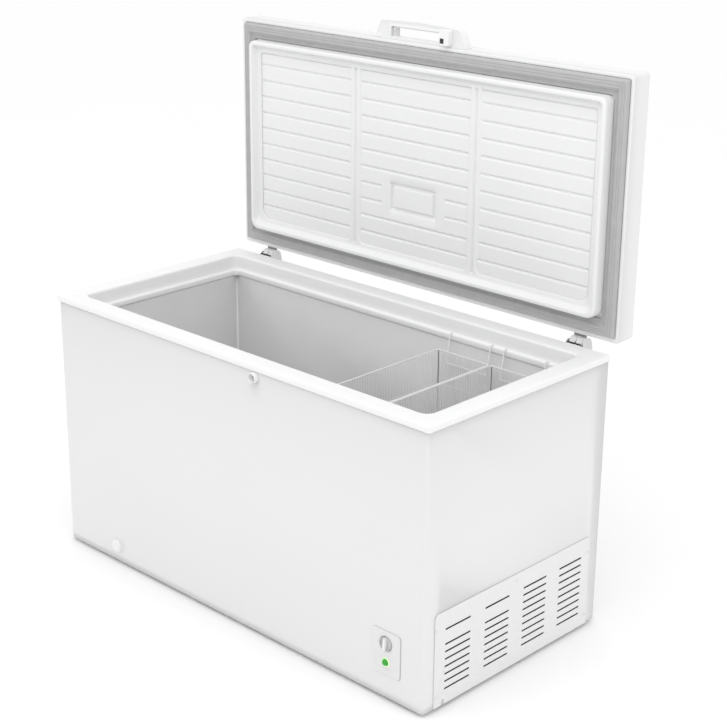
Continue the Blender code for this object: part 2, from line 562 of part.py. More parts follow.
def hinge(side, x):
    """Base bracket on the rear sheet, pin, leaf on the lid's rear edge, spring and plastic cover."""
    back = CAB_D / 2
    half = HINGE_W / 2
    plate_t, ear_t = 0.0025, 0.0025
    collar_back = back + COLLAR_OVER
    base = finish(block((x - half, back + GAP, 0.600), (x + half, back + GAP + plate_t, 0.742)),
                  f"hinge_base_{side}", "zinc_steel")
    for sign in (-1, 1):
        inner, outer = sorted((x + sign * (half - 0.0080), x + sign * (half - 0.0080 - ear_t)))
        ear = block((inner, back + 0.0010, 0.690), (outer, HINGE_Y + 0.012, 0.7470), 0.0, "")
        join(base, ear, f"add_hinge_{side}_ear_{sign}")
        upper = block((inner, collar_back + 0.0012, 0.7400), (outer, HINGE_Y + 0.0085, HINGE_Z + 0.0085))
        join(base, upper, f"add_hinge_{side}_ear_top_{sign}")
    cut(base, rod((x, HINGE_Y, HINGE_Z), PIN_R + 0.0002, HINGE_W + 0.02, "X", 20), f"cut_hinge_{side}_bore")
    finish(rod((x, HINGE_Y, HINGE_Z), PIN_R, HINGE_W - 0.010, "X", 20), f"hinge_pin_{side}", "zinc_steel")
    leaf_half = half - 0.0125
    lid_back = LID_D / 2
    leaf = finish(rod((x, HINGE_Y, HINGE_Z), 0.0075, 2 * leaf_half, "X", 20), f"hinge_leaf_{side}",
                  "zinc_steel", LID_AXIS)
    arm = block((x - leaf_half, lid_back + GAP, HINGE_Z - 0.0075), (x + leaf_half, HINGE_Y, HINGE_Z - 0.0050))
    plate = block((x - leaf_half, lid_back + GAP, LID_UNDER + 0.002), (x + leaf_half, lid_back + GAP + 0.0025,
                  LID_UNDER + 0.058))
    link = block((x - leaf_half, lid_back + 0.0060, HINGE_Z + 0.0030), (x + leaf_half, lid_back + 0.0085,
                 LID_UNDER + 0.006))
    foot = block((x - leaf_half, lid_back + GAP, LID_UNDER + 0.0035), (x + leaf_half, lid_back + 0.0085,
                 LID_UNDER + 0.006))
    bridge = block((x - leaf_half, lid_back + 0.0060, HINGE_Z + 0.0030), (x + leaf_half, HINGE_Y, HINGE_Z + 0.0055))
    arm.free()
    for name, shape in (("plate", plate), ("link", link), ("foot", foot), ("bridge", bridge)):
        join(leaf, shape, f"add_leaf_{side}_{name}")
    cut(leaf, rod((x, HINGE_Y, HINGE_Z), PIN_R + 0.0002, HINGE_W + 0.02, "X", 20), f"cut_leaf_{side}_bore")


def hinge_spring(side, x):
    """Counterbalance spring between the bracket and the cover's back wall."""
    turns, per_turn, radius = 7, 8, 0.0070
    low, high = 0.612, 0.700
    centre_y = CAB_D / 2 + 0.0135
    count = turns * per_turn
    path = [(x + radius * math.cos(2 * math.pi * i / per_turn), centre_y + radius * math.sin(2 * math.pi * i / per_turn),
             low + (high - low) * i / count) for i in range(count + 1)]
    tube(f"hinge_spring_{side}", path, 0.0012, "zinc_steel")


def hinge_cover(side, x):
    """Two rounded cheeks and a back wall round the hinge, open in front and on top."""
    back = CAB_D / 2
    half = HINGE_W / 2
    wall = 0.0022
    z_low = 0.590
    low = (x - half - wall - GAP, back + GAP, z_low)
    high = (x + half + wall + GAP, HINGE_Y + 0.0245, 0.762)
    cover = finish(block(low, high, 0.004, "X", 2), f"hinge_cover_{side}", "white_plastic")
    cheek = rod((x, HINGE_Y, HINGE_Z), COVER_R, HINGE_W + 2 * wall + 2 * GAP, "X", 32)
    join(cover, cheek, f"add_cover_{side}_cheek")
    room = block((x - half - GAP, back - 0.01, z_low + wall), (x + half + GAP, HINGE_Y + 0.0225, 0.900))
    cut(cover, room, f"cut_cover_{side}_room")
    collar_room = block((x - 0.1, back - 0.01, CAB_H - 0.002), (x + 0.1, back + COLLAR_OVER + 0.0006, CAB_H + 0.060))
    cut(cover, collar_room, f"cut_cover_{side}_collar")
    link_room = block((x - half - 0.01, back - 0.01, 0.745), (x + half, HINGE_Y + 0.1, 0.900))
    cut(cover, link_room, f"cut_cover_{side}_link")


# ---- lid ---------------------------------------------------------------------------------------


def lid_block(inset, low, high):
    """The lid's outline drawn in by `inset`, with its corners and its upper rim rounded."""
    half_w, half_d = LID_W / 2 - inset, LID_D / 2 - inset
    bm = block((-half_w, -half_d, low), (half_w, half_d, high), LID_CORNER_R - inset, "Z", 4)
    rim = [e for e in bm.edges if all(v.co.z > high - 1e-5 for v in e.verts)]
    bmesh.ops.bevel(bm, geom=rim, offset=LID_RIM_R - inset, offset_type="OFFSET", segments=3, profile=0.5,
                    affect="EDGES", material=-1)
    return bm


def lid_shell():
    top = LID_UNDER + LID_T
    shell = finish(lid_block(0, LID_UNDER, top), "lid_shell", "white_paint", LID_AXIS)
    cut(shell, lid_block(SHEET, LID_UNDER - 0.01, top - SHEET), "cut_lid_shell_inside")


def lid_liner():
    """Flange and raised inner panel, hollow behind so that the foam fills it."""
    half_w, half_d = LID_W / 2 - 0.0015, LID_D / 2 - 0.0015
    skin = 0.0015
    liner = finish(block((-half_w, -half_d, LID_UNDER), (half_w, half_d, LID_UNDER + skin), LID_CORNER_R - 0.0015, "Z"),
                   "lid_liner", "white_plastic", LID_AXIS)
    low = LID_UNDER - PLUG_DEPTH
    join(liner, block((-PLUG_X, -PLUG_Y, low), (PLUG_X, PLUG_Y, LID_UNDER + skin / 2), 0.022, "Z"), "add_liner_plug")
    recess_x, recess_y = PLUG_X - PLUG_RIM, PLUG_Y - PLUG_RIM
    cut(liner, block((-recess_x, -recess_y, low - 0.1), (recess_x, recess_y, low + RECESS), 0.020, "Z"),
        "cut_liner_recess")
    hollow = finish(block((-PLUG_X + skin, -PLUG_Y + skin, low + skin), (PLUG_X - skin, PLUG_Y - skin,
                    LID_UNDER + 0.05), 0.020, "Z"), "cut_liner_hollow", parent=LID_AXIS)
    cut(hollow, block((-recess_x - skin, -recess_y - skin, low - 0.1), (recess_x + skin, recess_y + skin,
        low + RECESS + skin), 0.021, "Z"), "cut_liner_hollow_floor")
    boolean(liner, hollow)


def lid_foam():
    skin = 0.0015
    low = LID_UNDER + skin + GAP
    foam = finish(lid_block(SHEET + 0.0005, low, LID_UNDER + LID_T - SHEET - 0.0005), "lid_foam", "foam", LID_AXIS)
    inset = skin + GAP
    fill = block((-PLUG_X + inset, -PLUG_Y + inset, LID_UNDER - PLUG_DEPTH + RECESS + skin + GAP),
                 (PLUG_X - inset, PLUG_Y - inset, low + 0.004), 0.020, "Z")
    join(foam, fill, "add_foam_fill")


def lid_gasket():
    outer_x, outer_y = LID_W / 2 - SEAL_MARGIN, LID_D / 2 - SEAL_MARGIN
    low, high = CAB_H + COLLAR_T + GAP, LID_UNDER - GAP
    seal = finish(block((-outer_x, -outer_y, low), (outer_x, outer_y, high), 0.006, "Z", 2), "lid_gasket",
                  "gasket_rubber", LID_AXIS)
    cut(seal, block((-outer_x + SEAL_W, -outer_y + SEAL_W, low - 0.01), (outer_x - SEAL_W, outer_y - SEAL_W,
        high + 0.01), 0.004, "Z", 2), "cut_gasket_middle")


def lid_handle():
    """An arch on the lid's front edge with a finger opening, and the catch box at its right end."""
    front = -LID_D / 2 - GAP
    low, high = LID_UNDER + 0.001, LID_UNDER + 0.001 + HANDLE_T
    bm = bmesh.new()
    outline = [(-HANDLE_HALF, 0.0), (HANDLE_HALF, 0.0), (HANDLE_TOP_HALF, HANDLE_OUT - 0.006)]
    steps = 6
    for step in range(1, steps):
        share = 1 - 2 * step / steps
        outline.append((HANDLE_TOP_HALF * share, HANDLE_OUT - 0.006 * share * share))
    outline.append((-HANDLE_TOP_HALF, HANDLE_OUT - 0.006))
    face = bm.faces.new([bm.verts.new((x, front - out, low)) for x, out in outline])
    grown = bmesh.ops.extrude_face_region(bm, geom=[face])["geom"]
    bmesh.ops.translate(bm, verts=[g for g in grown if isinstance(g, bmesh.types.BMVert)], vec=(0, 0, high - low))
    handle = finish(bm, "lid_handle", "white_plastic", LID_AXIS)
    hole = block((-HANDLE_OPEN_HALF, front - 0.0345, low - 0.02), (HANDLE_OPEN_HALF, front - 0.0035, high + 0.02),
                 0.006, "Z")
    cut(handle, hole, "cut_handle_opening")
    x0, x1 = CATCH_X - CATCH_W / 2, CATCH_X + CATCH_W / 2
    room = block((x0 - GAP, front - 0.048, LID_UNDER - 0.04), (x1 + GAP, front - 0.0055, LID_UNDER + 0.0145))
    cut(handle, room, "cut_handle_catch_room")
    catch = finish(block((x0, front - 0.0477, LID_UNDER - 0.0155), (x1, front - 0.0058, LID_UNDER + 0.0142),
                         0.003, "XYZ", 2), "lock_catch", "white_plastic", LID_AXIS)
    cut(catch, block((x0 - 0.01, front - 0.0240, LID_UNDER - 0.04), (x0 + 0.0135, front - 0.0120,
        LID_UNDER - 0.0020)), "cut_catch_socket")


# ---- baskets -----------------------------------------------------------------------------------


def basket(side, low_x, high_x, hook_a, hook_b):
    """An open-topped basket, with a wire loop at each end that hooks over the collar's ledge."""
    wall = BASKET_WALL
    body = finish(block((low_x, -BASKET_Y, BASKET_FLOOR), (high_x, BASKET_Y, BASKET_RIM), 0.008, "Z", 2),
                  f"basket_{side}", "white_wire")
    cut(body, block((low_x + wall, -BASKET_Y + wall, BASKET_FLOOR + wall), (high_x - wall, BASKET_Y - wall,
        BASKET_RIM + 0.1), 0.006, "Z", 2), f"cut_basket_{side}_inside")
    loop_y, loop_z = BASKET_Y + HANGER_R * 0.4, BASKET_RIM - 0.035
    hook_y, hook_z = LIP_Y + 0.006, LIP_TOP + GAP + HANGER_R
    for end in (-1, 1):
        corners = [(hook_a, hook_y * end, hook_z), (hook_a, (LIP_Y - 0.0045) * end, hook_z),
                   (hook_a, loop_y * end, loop_z), (hook_b, loop_y * end, loop_z),
                   (hook_b, (LIP_Y - 0.0045) * end, hook_z), (hook_b, hook_y * end, hook_z)]
        wire = tube(f"add_basket_{side}_hanger_{end}", rounded_path(corners, 0.0030, 2), HANGER_R, "white_wire")
        boolean(body, as_mesh(wire, CUTTERS), "UNION")
    return body


# ---- assembly ----------------------------------------------------------------------------------

outer_shell()
rear_panel()
base_pan()
feet()
inner_liner()
insulation()
collar_sides()
side_grille()
control_panel()
thermostat()
lock()
drain()
coils()
compressor()
gland()
for hinge_side, hinge_x in (("left", -HINGE_X), ("right", HINGE_X)):
    hinge(hinge_side, hinge_x)
    hinge_spring(hinge_side, hinge_x)
    hinge_cover(hinge_side, hinge_x)
lid_shell()
lid_liner()
lid_foam()
lid_gasket()
lid_handle()
for basket_side, places in BASKETS.items():
    basket(basket_side, *places)
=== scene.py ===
"""Chest freezer add-on: models the finish of a chest freezer round its fixed frame, piece by piece."""

import json
import math

import bmesh
import bpy
from bpy.props import FloatProperty, FloatVectorProperty, IntProperty, PointerProperty
from bpy.types import Operator, Panel, PropertyGroup
from mathutils import Matrix, Vector


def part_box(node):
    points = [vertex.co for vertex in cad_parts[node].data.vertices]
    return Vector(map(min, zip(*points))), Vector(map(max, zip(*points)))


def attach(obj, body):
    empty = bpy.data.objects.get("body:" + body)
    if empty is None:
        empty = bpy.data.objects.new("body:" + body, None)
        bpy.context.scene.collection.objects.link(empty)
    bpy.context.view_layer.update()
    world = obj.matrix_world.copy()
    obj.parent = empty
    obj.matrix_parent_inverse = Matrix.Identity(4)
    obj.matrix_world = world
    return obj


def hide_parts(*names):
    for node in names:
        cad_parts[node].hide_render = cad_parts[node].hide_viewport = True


bl_info = {
    "name": "Chest Freezer",
    "version": (1, 0, 0),
    "blender": (4, 5, 0),
    "location": "View3D > Sidebar > Freezer",
    "description": "Chest freezer with an open lid, wire baskets and a studio",
    "category": "Object",
}

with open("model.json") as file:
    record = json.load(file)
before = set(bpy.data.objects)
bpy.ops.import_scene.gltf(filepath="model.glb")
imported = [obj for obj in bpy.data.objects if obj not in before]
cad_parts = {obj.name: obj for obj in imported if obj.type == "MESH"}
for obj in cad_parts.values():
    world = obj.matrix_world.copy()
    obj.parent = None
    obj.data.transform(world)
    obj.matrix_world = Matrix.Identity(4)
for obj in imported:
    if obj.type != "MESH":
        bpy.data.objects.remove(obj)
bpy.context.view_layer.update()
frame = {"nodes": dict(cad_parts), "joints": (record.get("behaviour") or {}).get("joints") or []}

# ---- places read from the frame ----------------------------------------------------------------

SHELL_LOW, SHELL_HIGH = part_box("outer_shell")
REAR_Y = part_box("rear_panel")[1][1]
HALF_W = SHELL_HIGH[0]
HALF_D = (REAR_Y - SHELL_LOW[1]) / 2
CENTRE_Y = (REAR_Y + SHELL_LOW[1]) / 2
BASE_Z = SHELL_LOW[2]
CABINET_H = SHELL_HIGH[2] - BASE_Z
HINGE = next(j for j in frame["joints"] if j["name"] == "lid_hinge")["pos_m"]
AXIS_Y, AXIS_Z = HINGE[1] - CENTRE_Y, HINGE[2] - BASE_Z
LID_LOW, LID_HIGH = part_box("lid_shell")
LID_HALF_W = LID_HIGH[0]
LID_HALF_D = (LID_HIGH[2] - LID_LOW[2]) / 2
LID_UNDER = AXIS_Z + LID_LOW[1] - CENTRE_Y - AXIS_Y
LID_TOP = AXIS_Z + LID_HIGH[1] - CENTRE_Y - AXIS_Y
COLLAR_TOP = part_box("collar_front")[1][2] - BASE_Z
COLLAR_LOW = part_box("collar_front")[0][2] - BASE_Z

ON_CABINET = Matrix.Translation((0, CENTRE_Y, BASE_Z))
ON_LID = (ON_CABINET @ Matrix.Translation((0, AXIS_Y, AXIS_Z)) @ Matrix.Rotation(-math.pi / 2, 4, "X")
          @ Matrix.Translation((0, -AXIS_Y, -AXIS_Z)))
GAP = 0.0003
SHEET = 0.0010
EDGE = 1e-5

# ---- settings ----------------------------------------------------------------------------------


class FreezerSizes(PropertyGroup):
    """Driving sizes of the freezer's details."""

    corner_radius: FloatProperty(name="Shell corner", description="Radius of the shell's front corners",
                                 default=0.012, min=0.002, unit="LENGTH")
    collar_corner: FloatProperty(name="Opening corner", description="Radius of the collar opening's corners",
                                 default=0.024, min=0.004, unit="LENGTH")
    lid_rounding: FloatProperty(name="Lid rounding", description="Radius of the lid's outer edges",
                                default=0.0065, min=0.002, unit="LENGTH")
    groove_pitch: FloatProperty(name="Groove pitch", description="Distance between the lid panel's grooves",
                                default=0.0483, min=0.02, unit="LENGTH")
    groove_depth: FloatProperty(name="Groove depth", description="Depth of the lid panel's grooves",
                                default=0.0053, min=0.0002, unit="LENGTH")
    wire_pitch: FloatProperty(name="Wire pitch", description="Distance between a basket's upright wires",
                              default=0.0064, min=0.004, unit="LENGTH")
    wire_radius: FloatProperty(name="Wire radius", description="Radius of a basket's fine wires",
                               default=0.0005, min=0.0003, unit="LENGTH")
    rim_radius: FloatProperty(name="Rim radius", description="Radius of a basket's rim wire",
                              default=0.0018, min=0.0005, unit="LENGTH")
    smoothness: IntProperty(name="Smoothness", description="Segments in each rounded corner", default=8,
                            min=2, max=16)


class FreezerColours(PropertyGroup):
    """Base colours of the main finishes."""

    enamel: FloatVectorProperty(name="Enamel", description="Outer sheet metal", subtype="COLOR", size=3,
                                default=(0.765, 0.765, 0.767), min=0, max=1)
    moulding: FloatVectorProperty(name="Moulding", description="White plastic mouldings", subtype="COLOR",
                                  size=3, default=(0.845, 0.845, 0.847), min=0, max=1)
    tub: FloatVectorProperty(name="Tub", description="Inside walls of the tub", subtype="COLOR", size=3,
                             default=(0.62, 0.62, 0.622), min=0, max=1)
    seal: FloatVectorProperty(name="Seal", description="Lid gasket", subtype="COLOR", size=3,
                              default=(0.46, 0.46, 0.462), min=0, max=1)
    lamp: FloatVectorProperty(name="Lamp", description="Power lamp", subtype="COLOR", size=3,
                              default=(0.002, 0.20, 0.006), min=0, max=1)


class FreezerStudio(PropertyGroup):
    """The camera and the lights."""

    azimuth: FloatProperty(name="Azimuth", description="Camera's turn round the freezer, in degrees",
                           default=45.08)
    elevation: FloatProperty(name="Elevation", description="Camera's height above the horizon, in degrees",
                             default=19.66)
    distance: FloatProperty(name="Distance", description="Camera's distance from its target",
                            default=4.5118, min=0.5, unit="LENGTH")
    lens: FloatProperty(name="Lens", description="Focal length in millimetres", default=81.17, min=10)
    key_power: FloatProperty(name="Key light", description="Power of the large overhead light", default=22.0)
    side_power: FloatProperty(name="Side light",
                              description="Power of the light beside the machine compartment",
                              default=5.0)
    surround: FloatProperty(name="Surround", description="Strength of the even surrounding light",
                            default=1.02, min=0)


def sizes():
    """The sidebar's sizes."""
    return bpy.context.scene.freezer_sizes


def colours():
    """The sidebar's colours."""
    return bpy.context.scene.freezer_colours


# ---- finishes ----------------------------------------------------------------------------------


class Finish:
    """A procedural material on Object coordinates, built round one Principled shader."""

    def __init__(self, name, colour, roughness, metallic=0.0, **constants):
        self.material = bpy.data.materials.new(name)
        self.material.use_nodes = True
        self.tree = self.material.node_tree
        self.shader = self.tree.nodes["Principled BSDF"]
        self.shader.inputs["Base Color"].default_value = (*colour, 1)
        self.shader.inputs["Roughness"].default_value = roughness
        self.shader.inputs["Metallic"].default_value = metallic
        for socket, value in constants.items():
            self.shader.inputs[socket.replace("_", " ")].default_value = value
        self.colour, self.roughness = colour, roughness
        self.height = None
        self.coordinates = self.node("ShaderNodeTexCoord")

    def node(self, kind, **settings):
        made = self.tree.nodes.new(kind)
        for key, value in settings.items():
            setattr(made, key, value)
        return made

    def link(self, source, target):
        self.tree.links.new(source, target)

    def place(self, stretch):
        mapping = self.node("ShaderNodeMapping")
        mapping.inputs["Scale"].default_value = stretch
        self.link(self.coordinates.outputs["Object"], mapping.inputs["Vector"])
        return mapping.outputs["Vector"]

    def noise(self, scale, detail=3.0, stretch=(1, 1, 1), rough=0.5):
        texture = self.node("ShaderNodeTexNoise")
        texture.inputs["Scale"].default_value = scale
        texture.inputs["Detail"].default_value = detail
        texture.inputs["Roughness"].default_value = rough
        self.link(self.place(stretch), texture.inputs["Vector"])
        return texture.outputs["Fac"]

    def cells(self, scale, stretch=(1, 1, 1)):
        texture = self.node("ShaderNodeTexVoronoi", feature="SMOOTH_F1")
        texture.inputs["Scale"].default_value = scale
        self.link(self.place(stretch), texture.inputs["Vector"])
        return texture.outputs["Distance"]

    def spread(self, value, low, high, from_low=0.3, from_high=0.7):
        ranged = self.node("ShaderNodeMapRange")
        ranged.inputs["From Min"].default_value = from_low
        ranged.inputs["From Max"].default_value = from_high
        ranged.inputs["To Min"].default_value = low
        ranged.inputs["To Max"].default_value = high
        self.link(value, ranged.inputs["Value"])
        return ranged.outputs["Result"]

    def tint(self, mask, other):
        """Turns the colour towards another where the mask is high."""
        mix = self.node("ShaderNodeMix", data_type="RGBA")
        source = self.shader.inputs["Base Color"]
        if source.links:
            self.link(source.links[0].from_socket, mix.inputs[6])
        else:
            mix.inputs[6].default_value = (*self.colour, 1)
        mix.inputs[7].default_value = (*other, 1)
        self.link(mask, mix.inputs[0])
        self.link(mix.outputs[2], source)
        return self

    def vary_gloss(self, value, amount):
        low, high = self.roughness - amount, self.roughness + amount
        self.link(self.spread(value, low, high), self.shader.inputs["Roughness"])
        return self

    def relief(self, height, strength, distance):
        bump = self.node("ShaderNodeBump")
        bump.inputs["Strength"].default_value = strength
        bump.inputs["Distance"].default_value = distance
        self.link(height, bump.inputs["Height"])
        if self.height:
            self.link(self.height, bump.inputs["Normal"])
        self.height = bump.outputs["Normal"]
        self.link(self.height, self.shader.inputs["Normal"])
        return self


def dim(colour, factor):
    """The colour, darker by a factor."""
    return tuple(channel * factor for channel in colour)


FINISHES = {}


def finish_of(name):
    """The material of that name, made once."""
    if name not in FINISHES:
        made = moulding(*MOULDINGS[name]) if name in MOULDINGS else RECIPES[name]()
        FINISHES[name] = made.material
    return FINISHES[name]


def enamel():
    """Coated sheet steel: faint orange peel, a trace of handling marks."""
    colour = colours().enamel
    made = Finish("coated_sheet", colour, 0.36, Coat_Weight=0.25, Coat_Roughness=0.12)
    made.tint(made.spread(made.noise(1.7, 4.0), 0.0, 0.35), dim(colour, 0.975))
    made.vary_gloss(made.noise(9.0, 4.0), 0.05)
    made.relief(made.noise(420.0, 2.0), 0.10, 0.00025)
    return made


def moulding(name="white_moulding", colour=None, roughness=0.38, grain=0.10):
    """Injection-moulded plastic with a fine spark-eroded grain."""
    colour = colour or colours().moulding
    made = Finish(name, colour, roughness, IOR=1.49, Subsurface_Weight=0.02, Subsurface_Scale=0.004)
    made.tint(made.spread(made.noise(6.0, 3.0), 0.0, 0.3), dim(colour, 0.97))
    made.vary_gloss(made.noise(35.0, 3.0), 0.05)
    made.relief(made.noise(1500.0, 2.0), grain, 0.0002)
    return made


def vacuum_formed():
    """The lid's formed inner panel, a little glossier than the mouldings."""
    made = moulding("formed_sheet", dim(colours().moulding, 0.985), 0.34, 0.05)
    made.relief(made.noise(14.0, 2.0), 0.12, 0.0008)
    return made


def tub_sheet():
    """Stucco-embossed aluminium sheet with a lacquer."""
    colour = colours().tub
    made = Finish("embossed_aluminium", colour, 0.46, 0.25, Coat_Weight=0.15, Coat_Roughness=0.3)
    made.tint(made.spread(made.noise(3.0, 4.0), 0.0, 0.5), dim(colour, 0.93))
    made.relief(made.cells(230.0), 0.22, 0.0006)
    made.relief(made.noise(700.0, 2.0), 0.08, 0.0002)
    made.vary_gloss(made.noise(12.0), 0.06)
    return made


def seal_rubber():
    """Soft grey seal, matt and a little uneven."""
    colour = colours().seal
    made = Finish("soft_seal", colour, 0.58, IOR=1.5)
    made.tint(made.spread(made.noise(30.0, 4.0), 0.0, 0.5), dim(colour, 0.86))
    made.relief(made.noise(900.0, 2.0), 0.12, 0.0002)
    made.vary_gloss(made.noise(60.0), 0.06)
    return made


def zinc():
    """Zinc-plated steel: spangled tone, drawn lines and uneven gloss."""
    made = Finish("zinc_plate", (0.84, 0.845, 0.85), 0.28, 1.0)
    made.tint(made.spread(made.cells(160.0), 0.0, 0.6, 0.1, 0.6), (0.70, 0.71, 0.72))
    made.relief(made.noise(260.0, 3.0, (1, 1, 0.08)), 0.08, 0.0003)
    made.vary_gloss(made.noise(45.0, 4.0), 0.09)
    return made


def dark_steel():
    """Blackened steel of the hinge pins; the same dark finish paints the shade of the keyhole and of the
    hinge barrels.
    """
    made = Finish("blackened_steel", (0.035, 0.035, 0.037), 0.32, 0.9)
    made.tint(made.spread(made.noise(220.0, 4.0), 0.0, 0.6), (0.10, 0.10, 0.105))
    made.relief(made.noise(900.0, 2.0), 0.10, 0.0002)
    made.vary_gloss(made.noise(90.0), 0.08)
    return made


def wire_coat():
    """Dipped plastic on basket wire: soft, slightly lumpy."""
    made = Finish("dipped_wire", (0.86, 0.86, 0.86), 0.34, IOR=1.5)
    made.tint(made.spread(made.noise(60.0, 3.0), 0.0, 0.4), (0.79, 0.79, 0.79))
    made.relief(made.noise(330.0, 2.0), 0.16, 0.0003)
    made.vary_gloss(made.noise(80.0), 0.06)
    return made


def copper():
    """Drawn tube with darker, tarnished stretches."""
    made = Finish("drawn_copper", (0.78, 0.42, 0.26), 0.30, 1.0)
    made.tint(made.spread(made.noise(24.0, 5.0), 0.0, 0.75), (0.42, 0.22, 0.14))
    made.relief(made.noise(500.0, 2.0), 0.10, 0.0002)
    made.vary_gloss(made.noise(40.0), 0.10)
    return made


def foam():
    """Rigid yellow foam with open cells."""
    made = Finish("rigid_foam", (0.80, 0.72, 0.44), 0.92)
    made.tint(made.spread(made.noise(22.0, 5.0), 0.0, 0.6), (0.68, 0.58, 0.32))
    made.relief(made.cells(420.0), 0.55, 0.0012)
    made.relief(made.noise(40.0, 5.0), 0.35, 0.003)
    return made


def compressor_paint():
    """Stoved black paint on the compressor."""
    made = Finish("stove_black", (0.018, 0.018, 0.019), 0.34, Coat_Weight=0.3, Coat_Roughness=0.2)
    made.tint(made.spread(made.noise(35.0, 4.0), 0.0, 0.5), (0.05, 0.05, 0.05))
    made.relief(made.noise(380.0, 2.0), 0.16, 0.0003)
    made.vary_gloss(made.noise(20.0), 0.08)
    return made


def black_rubber():
    """Matt rubber of the compressor's feet."""
    made = Finish("black_rubber", (0.022, 0.022, 0.022), 0.78)
    made.tint(made.spread(made.noise(45.0, 4.0), 0.0, 0.5), (0.05, 0.05, 0.05))
    made.relief(made.noise(800.0, 2.0), 0.25, 0.0003)
    return made


def lamp_lens():
    """Clear green lens with a lit, slightly uneven core."""
    colour = colours().lamp
    made = Finish("lit_lens", colour, 0.12, Coat_Weight=0.6, Coat_Roughness=0.05)
    made.tint(made.spread(made.noise(350.0, 2.0), 0.0, 0.6), dim(colour, 0.55))
    made.shader.inputs["Emission Color"].default_value = (0.0, 0.55, 0.01, 1)
    made.shader.inputs["Emission Strength"].default_value = 0.34
    made.relief(made.noise(600.0, 1.0), 0.05, 0.0002)
    return made


def lit_ring():
    """Clear collar round the lamp that carries its glow."""
    made = Finish("lamp_glow", (0.70, 0.95, 0.45), 0.25, Coat_Weight=0.4, Coat_Roughness=0.08)
    made.tint(made.spread(made.noise(300.0, 2.0), 0.0, 0.5), (0.80, 0.97, 0.60))
    made.shader.inputs["Emission Color"].default_value = (0.55, 1.0, 0.25, 1)
    made.shader.inputs["Emission Strength"].default_value = 0.30
    made.relief(made.noise(600.0, 1.0), 0.05, 0.0002)
    return made


def studio_paper():
    """Pale paper of the studio floor."""
    made = Finish("studio_paper", (0.97, 0.97, 0.97), 0.85)
    made.tint(made.spread(made.noise(1.3, 3.0), 0.0, 0.3), (0.955, 0.955, 0.955))
    made.relief(made.noise(300.0, 3.0), 0.05, 0.0005)
    return made


RECIPES = {
    "enamel": enamel,
    "moulding": moulding,
    "formed": vacuum_formed,
    "tub": tub_sheet,
    "seal": seal_rubber,
    "zinc": zinc,
    "dark_steel": dark_steel,
    "wire": wire_coat,
    "copper": copper,
    "foam": foam,
    "compressor": compressor_paint,
    "rubber": black_rubber,
    "lens": lamp_lens,
    "lit_ring": lit_ring,
    "paper": studio_paper,
}

# Plastics and plated steel that share the moulding's grain, some of them grey, dark or bright copies that
# paint shade or light on a part: name, colour, roughness, grain.
MOULDINGS = {
    "bezel": ("bezel_moulding", (0.75, 0.75, 0.752), 0.40, 0.10),
    "handle_white": ("handle_moulding", (0.80, 0.80, 0.802), 0.36, 0.10),
    # Grey ring in the handle's opening: painted shade.
    "hole_shade_grey": ("hole_shade_moulding", (0.76, 0.76, 0.762), 0.45, 0.12),
    # Knob cup grey: painted shade of the pockets beside the grip.
    "knob_shade_grey": ("knob_shade_moulding", (0.60, 0.60, 0.602), 0.42, 0.14),
    "pale_plastic": ("pale_moulding", (0.70, 0.70, 0.70), 0.42, 0.12),
    "grey_plastic": ("grey_moulding", (0.52, 0.53, 0.54), 0.50, 0.18),
    "black_plastic": ("black_moulding", (0.03, 0.03, 0.032), 0.50, 0.20),
    # Near-black strips: painted shade in the basket corners.
    "corner_shade_strip": ("corner_shade_strip", (0.10, 0.10, 0.10), 0.50, 0.20),
    # Bright white copy of the hinge metal: painted highlight on the knuckles.
    "plated": ("plated_steel_lit_copy", (0.80, 0.80, 0.80), 0.30, 0.05),
    # Dark copy of the hinge metal: painted shade under the lid.
    "shaded_hinge_steel": ("shaded_hinge_steel", (0.24, 0.24, 0.24), 0.42, 0.06),
}

# ---- modelling helpers -------------------------------------------------------------------------


def add_piece(name, bm, finish, body, place=ON_CABINET, replaces=(), sharp=35.0, bevel=0.0,
              thickness=0.0, recalc=True):
    """Makes the bmesh a finished piece: in place, shaded, riding on its body."""
    bmesh.ops.remove_doubles(bm, verts=bm.verts, dist=1e-6)
    if recalc:
        bmesh.ops.recalc_face_normals(bm, faces=bm.faces)
    bmesh.ops.transform(bm, matrix=place, verts=bm.verts)
    mesh = bpy.data.meshes.new(name)
    bm.to_mesh(mesh)
    bm.free()
    mesh.shade_smooth()
    mesh.set_sharp_from_angle(angle=math.radians(sharp))
    mesh.materials.append(finish_of(finish))
    piece = bpy.data.objects.new(name, mesh)
    bpy.context.scene.collection.objects.link(piece)
    if thickness:
        wall = piece.modifiers.new("wall", "SOLIDIFY")
        wall.thickness = thickness
        wall.offset = -1.0
        wall.use_even_offset = True
    if bevel:
        soften = piece.modifiers.new("soft_edges", "BEVEL")
        soften.width = bevel
        soften.segments = 3
        soften.limit_method = "ANGLE"
        soften.angle_limit = math.radians(32)
        soften.harden_normals = True
    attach(piece, body)
    if replaces:
        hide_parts(*replaces)
    return piece


def round_edges(bm, edges, radius, segments):
    """Rolls edges over to a radius."""
    bmesh.ops.bevel(bm, geom=edges, offset=radius, offset_type="OFFSET", segments=segments, profile=0.5,
                    affect="EDGES", material=-1, clamp_overlap=True)


def round_corners(bm, verts, radius, segments):
    """Rounds the corners of an outline in a plane."""
    bmesh.ops.bevel(bm, geom=verts, offset=radius, offset_type="OFFSET", segments=segments, profile=0.5,
                    affect="VERTICES", material=-1)


def edges_along(bm, axis):
    """The edges that run along one axis only."""
    index = "XYZ".index(axis)
    found = []
    for edge in bm.edges:
        run = edge.verts[0].co - edge.verts[1].co
        if abs(run[index]) > 1e-6 and all(abs(run[i]) < 1e-6 for i in range(3) if i != index):
            found.append(edge)
    return found


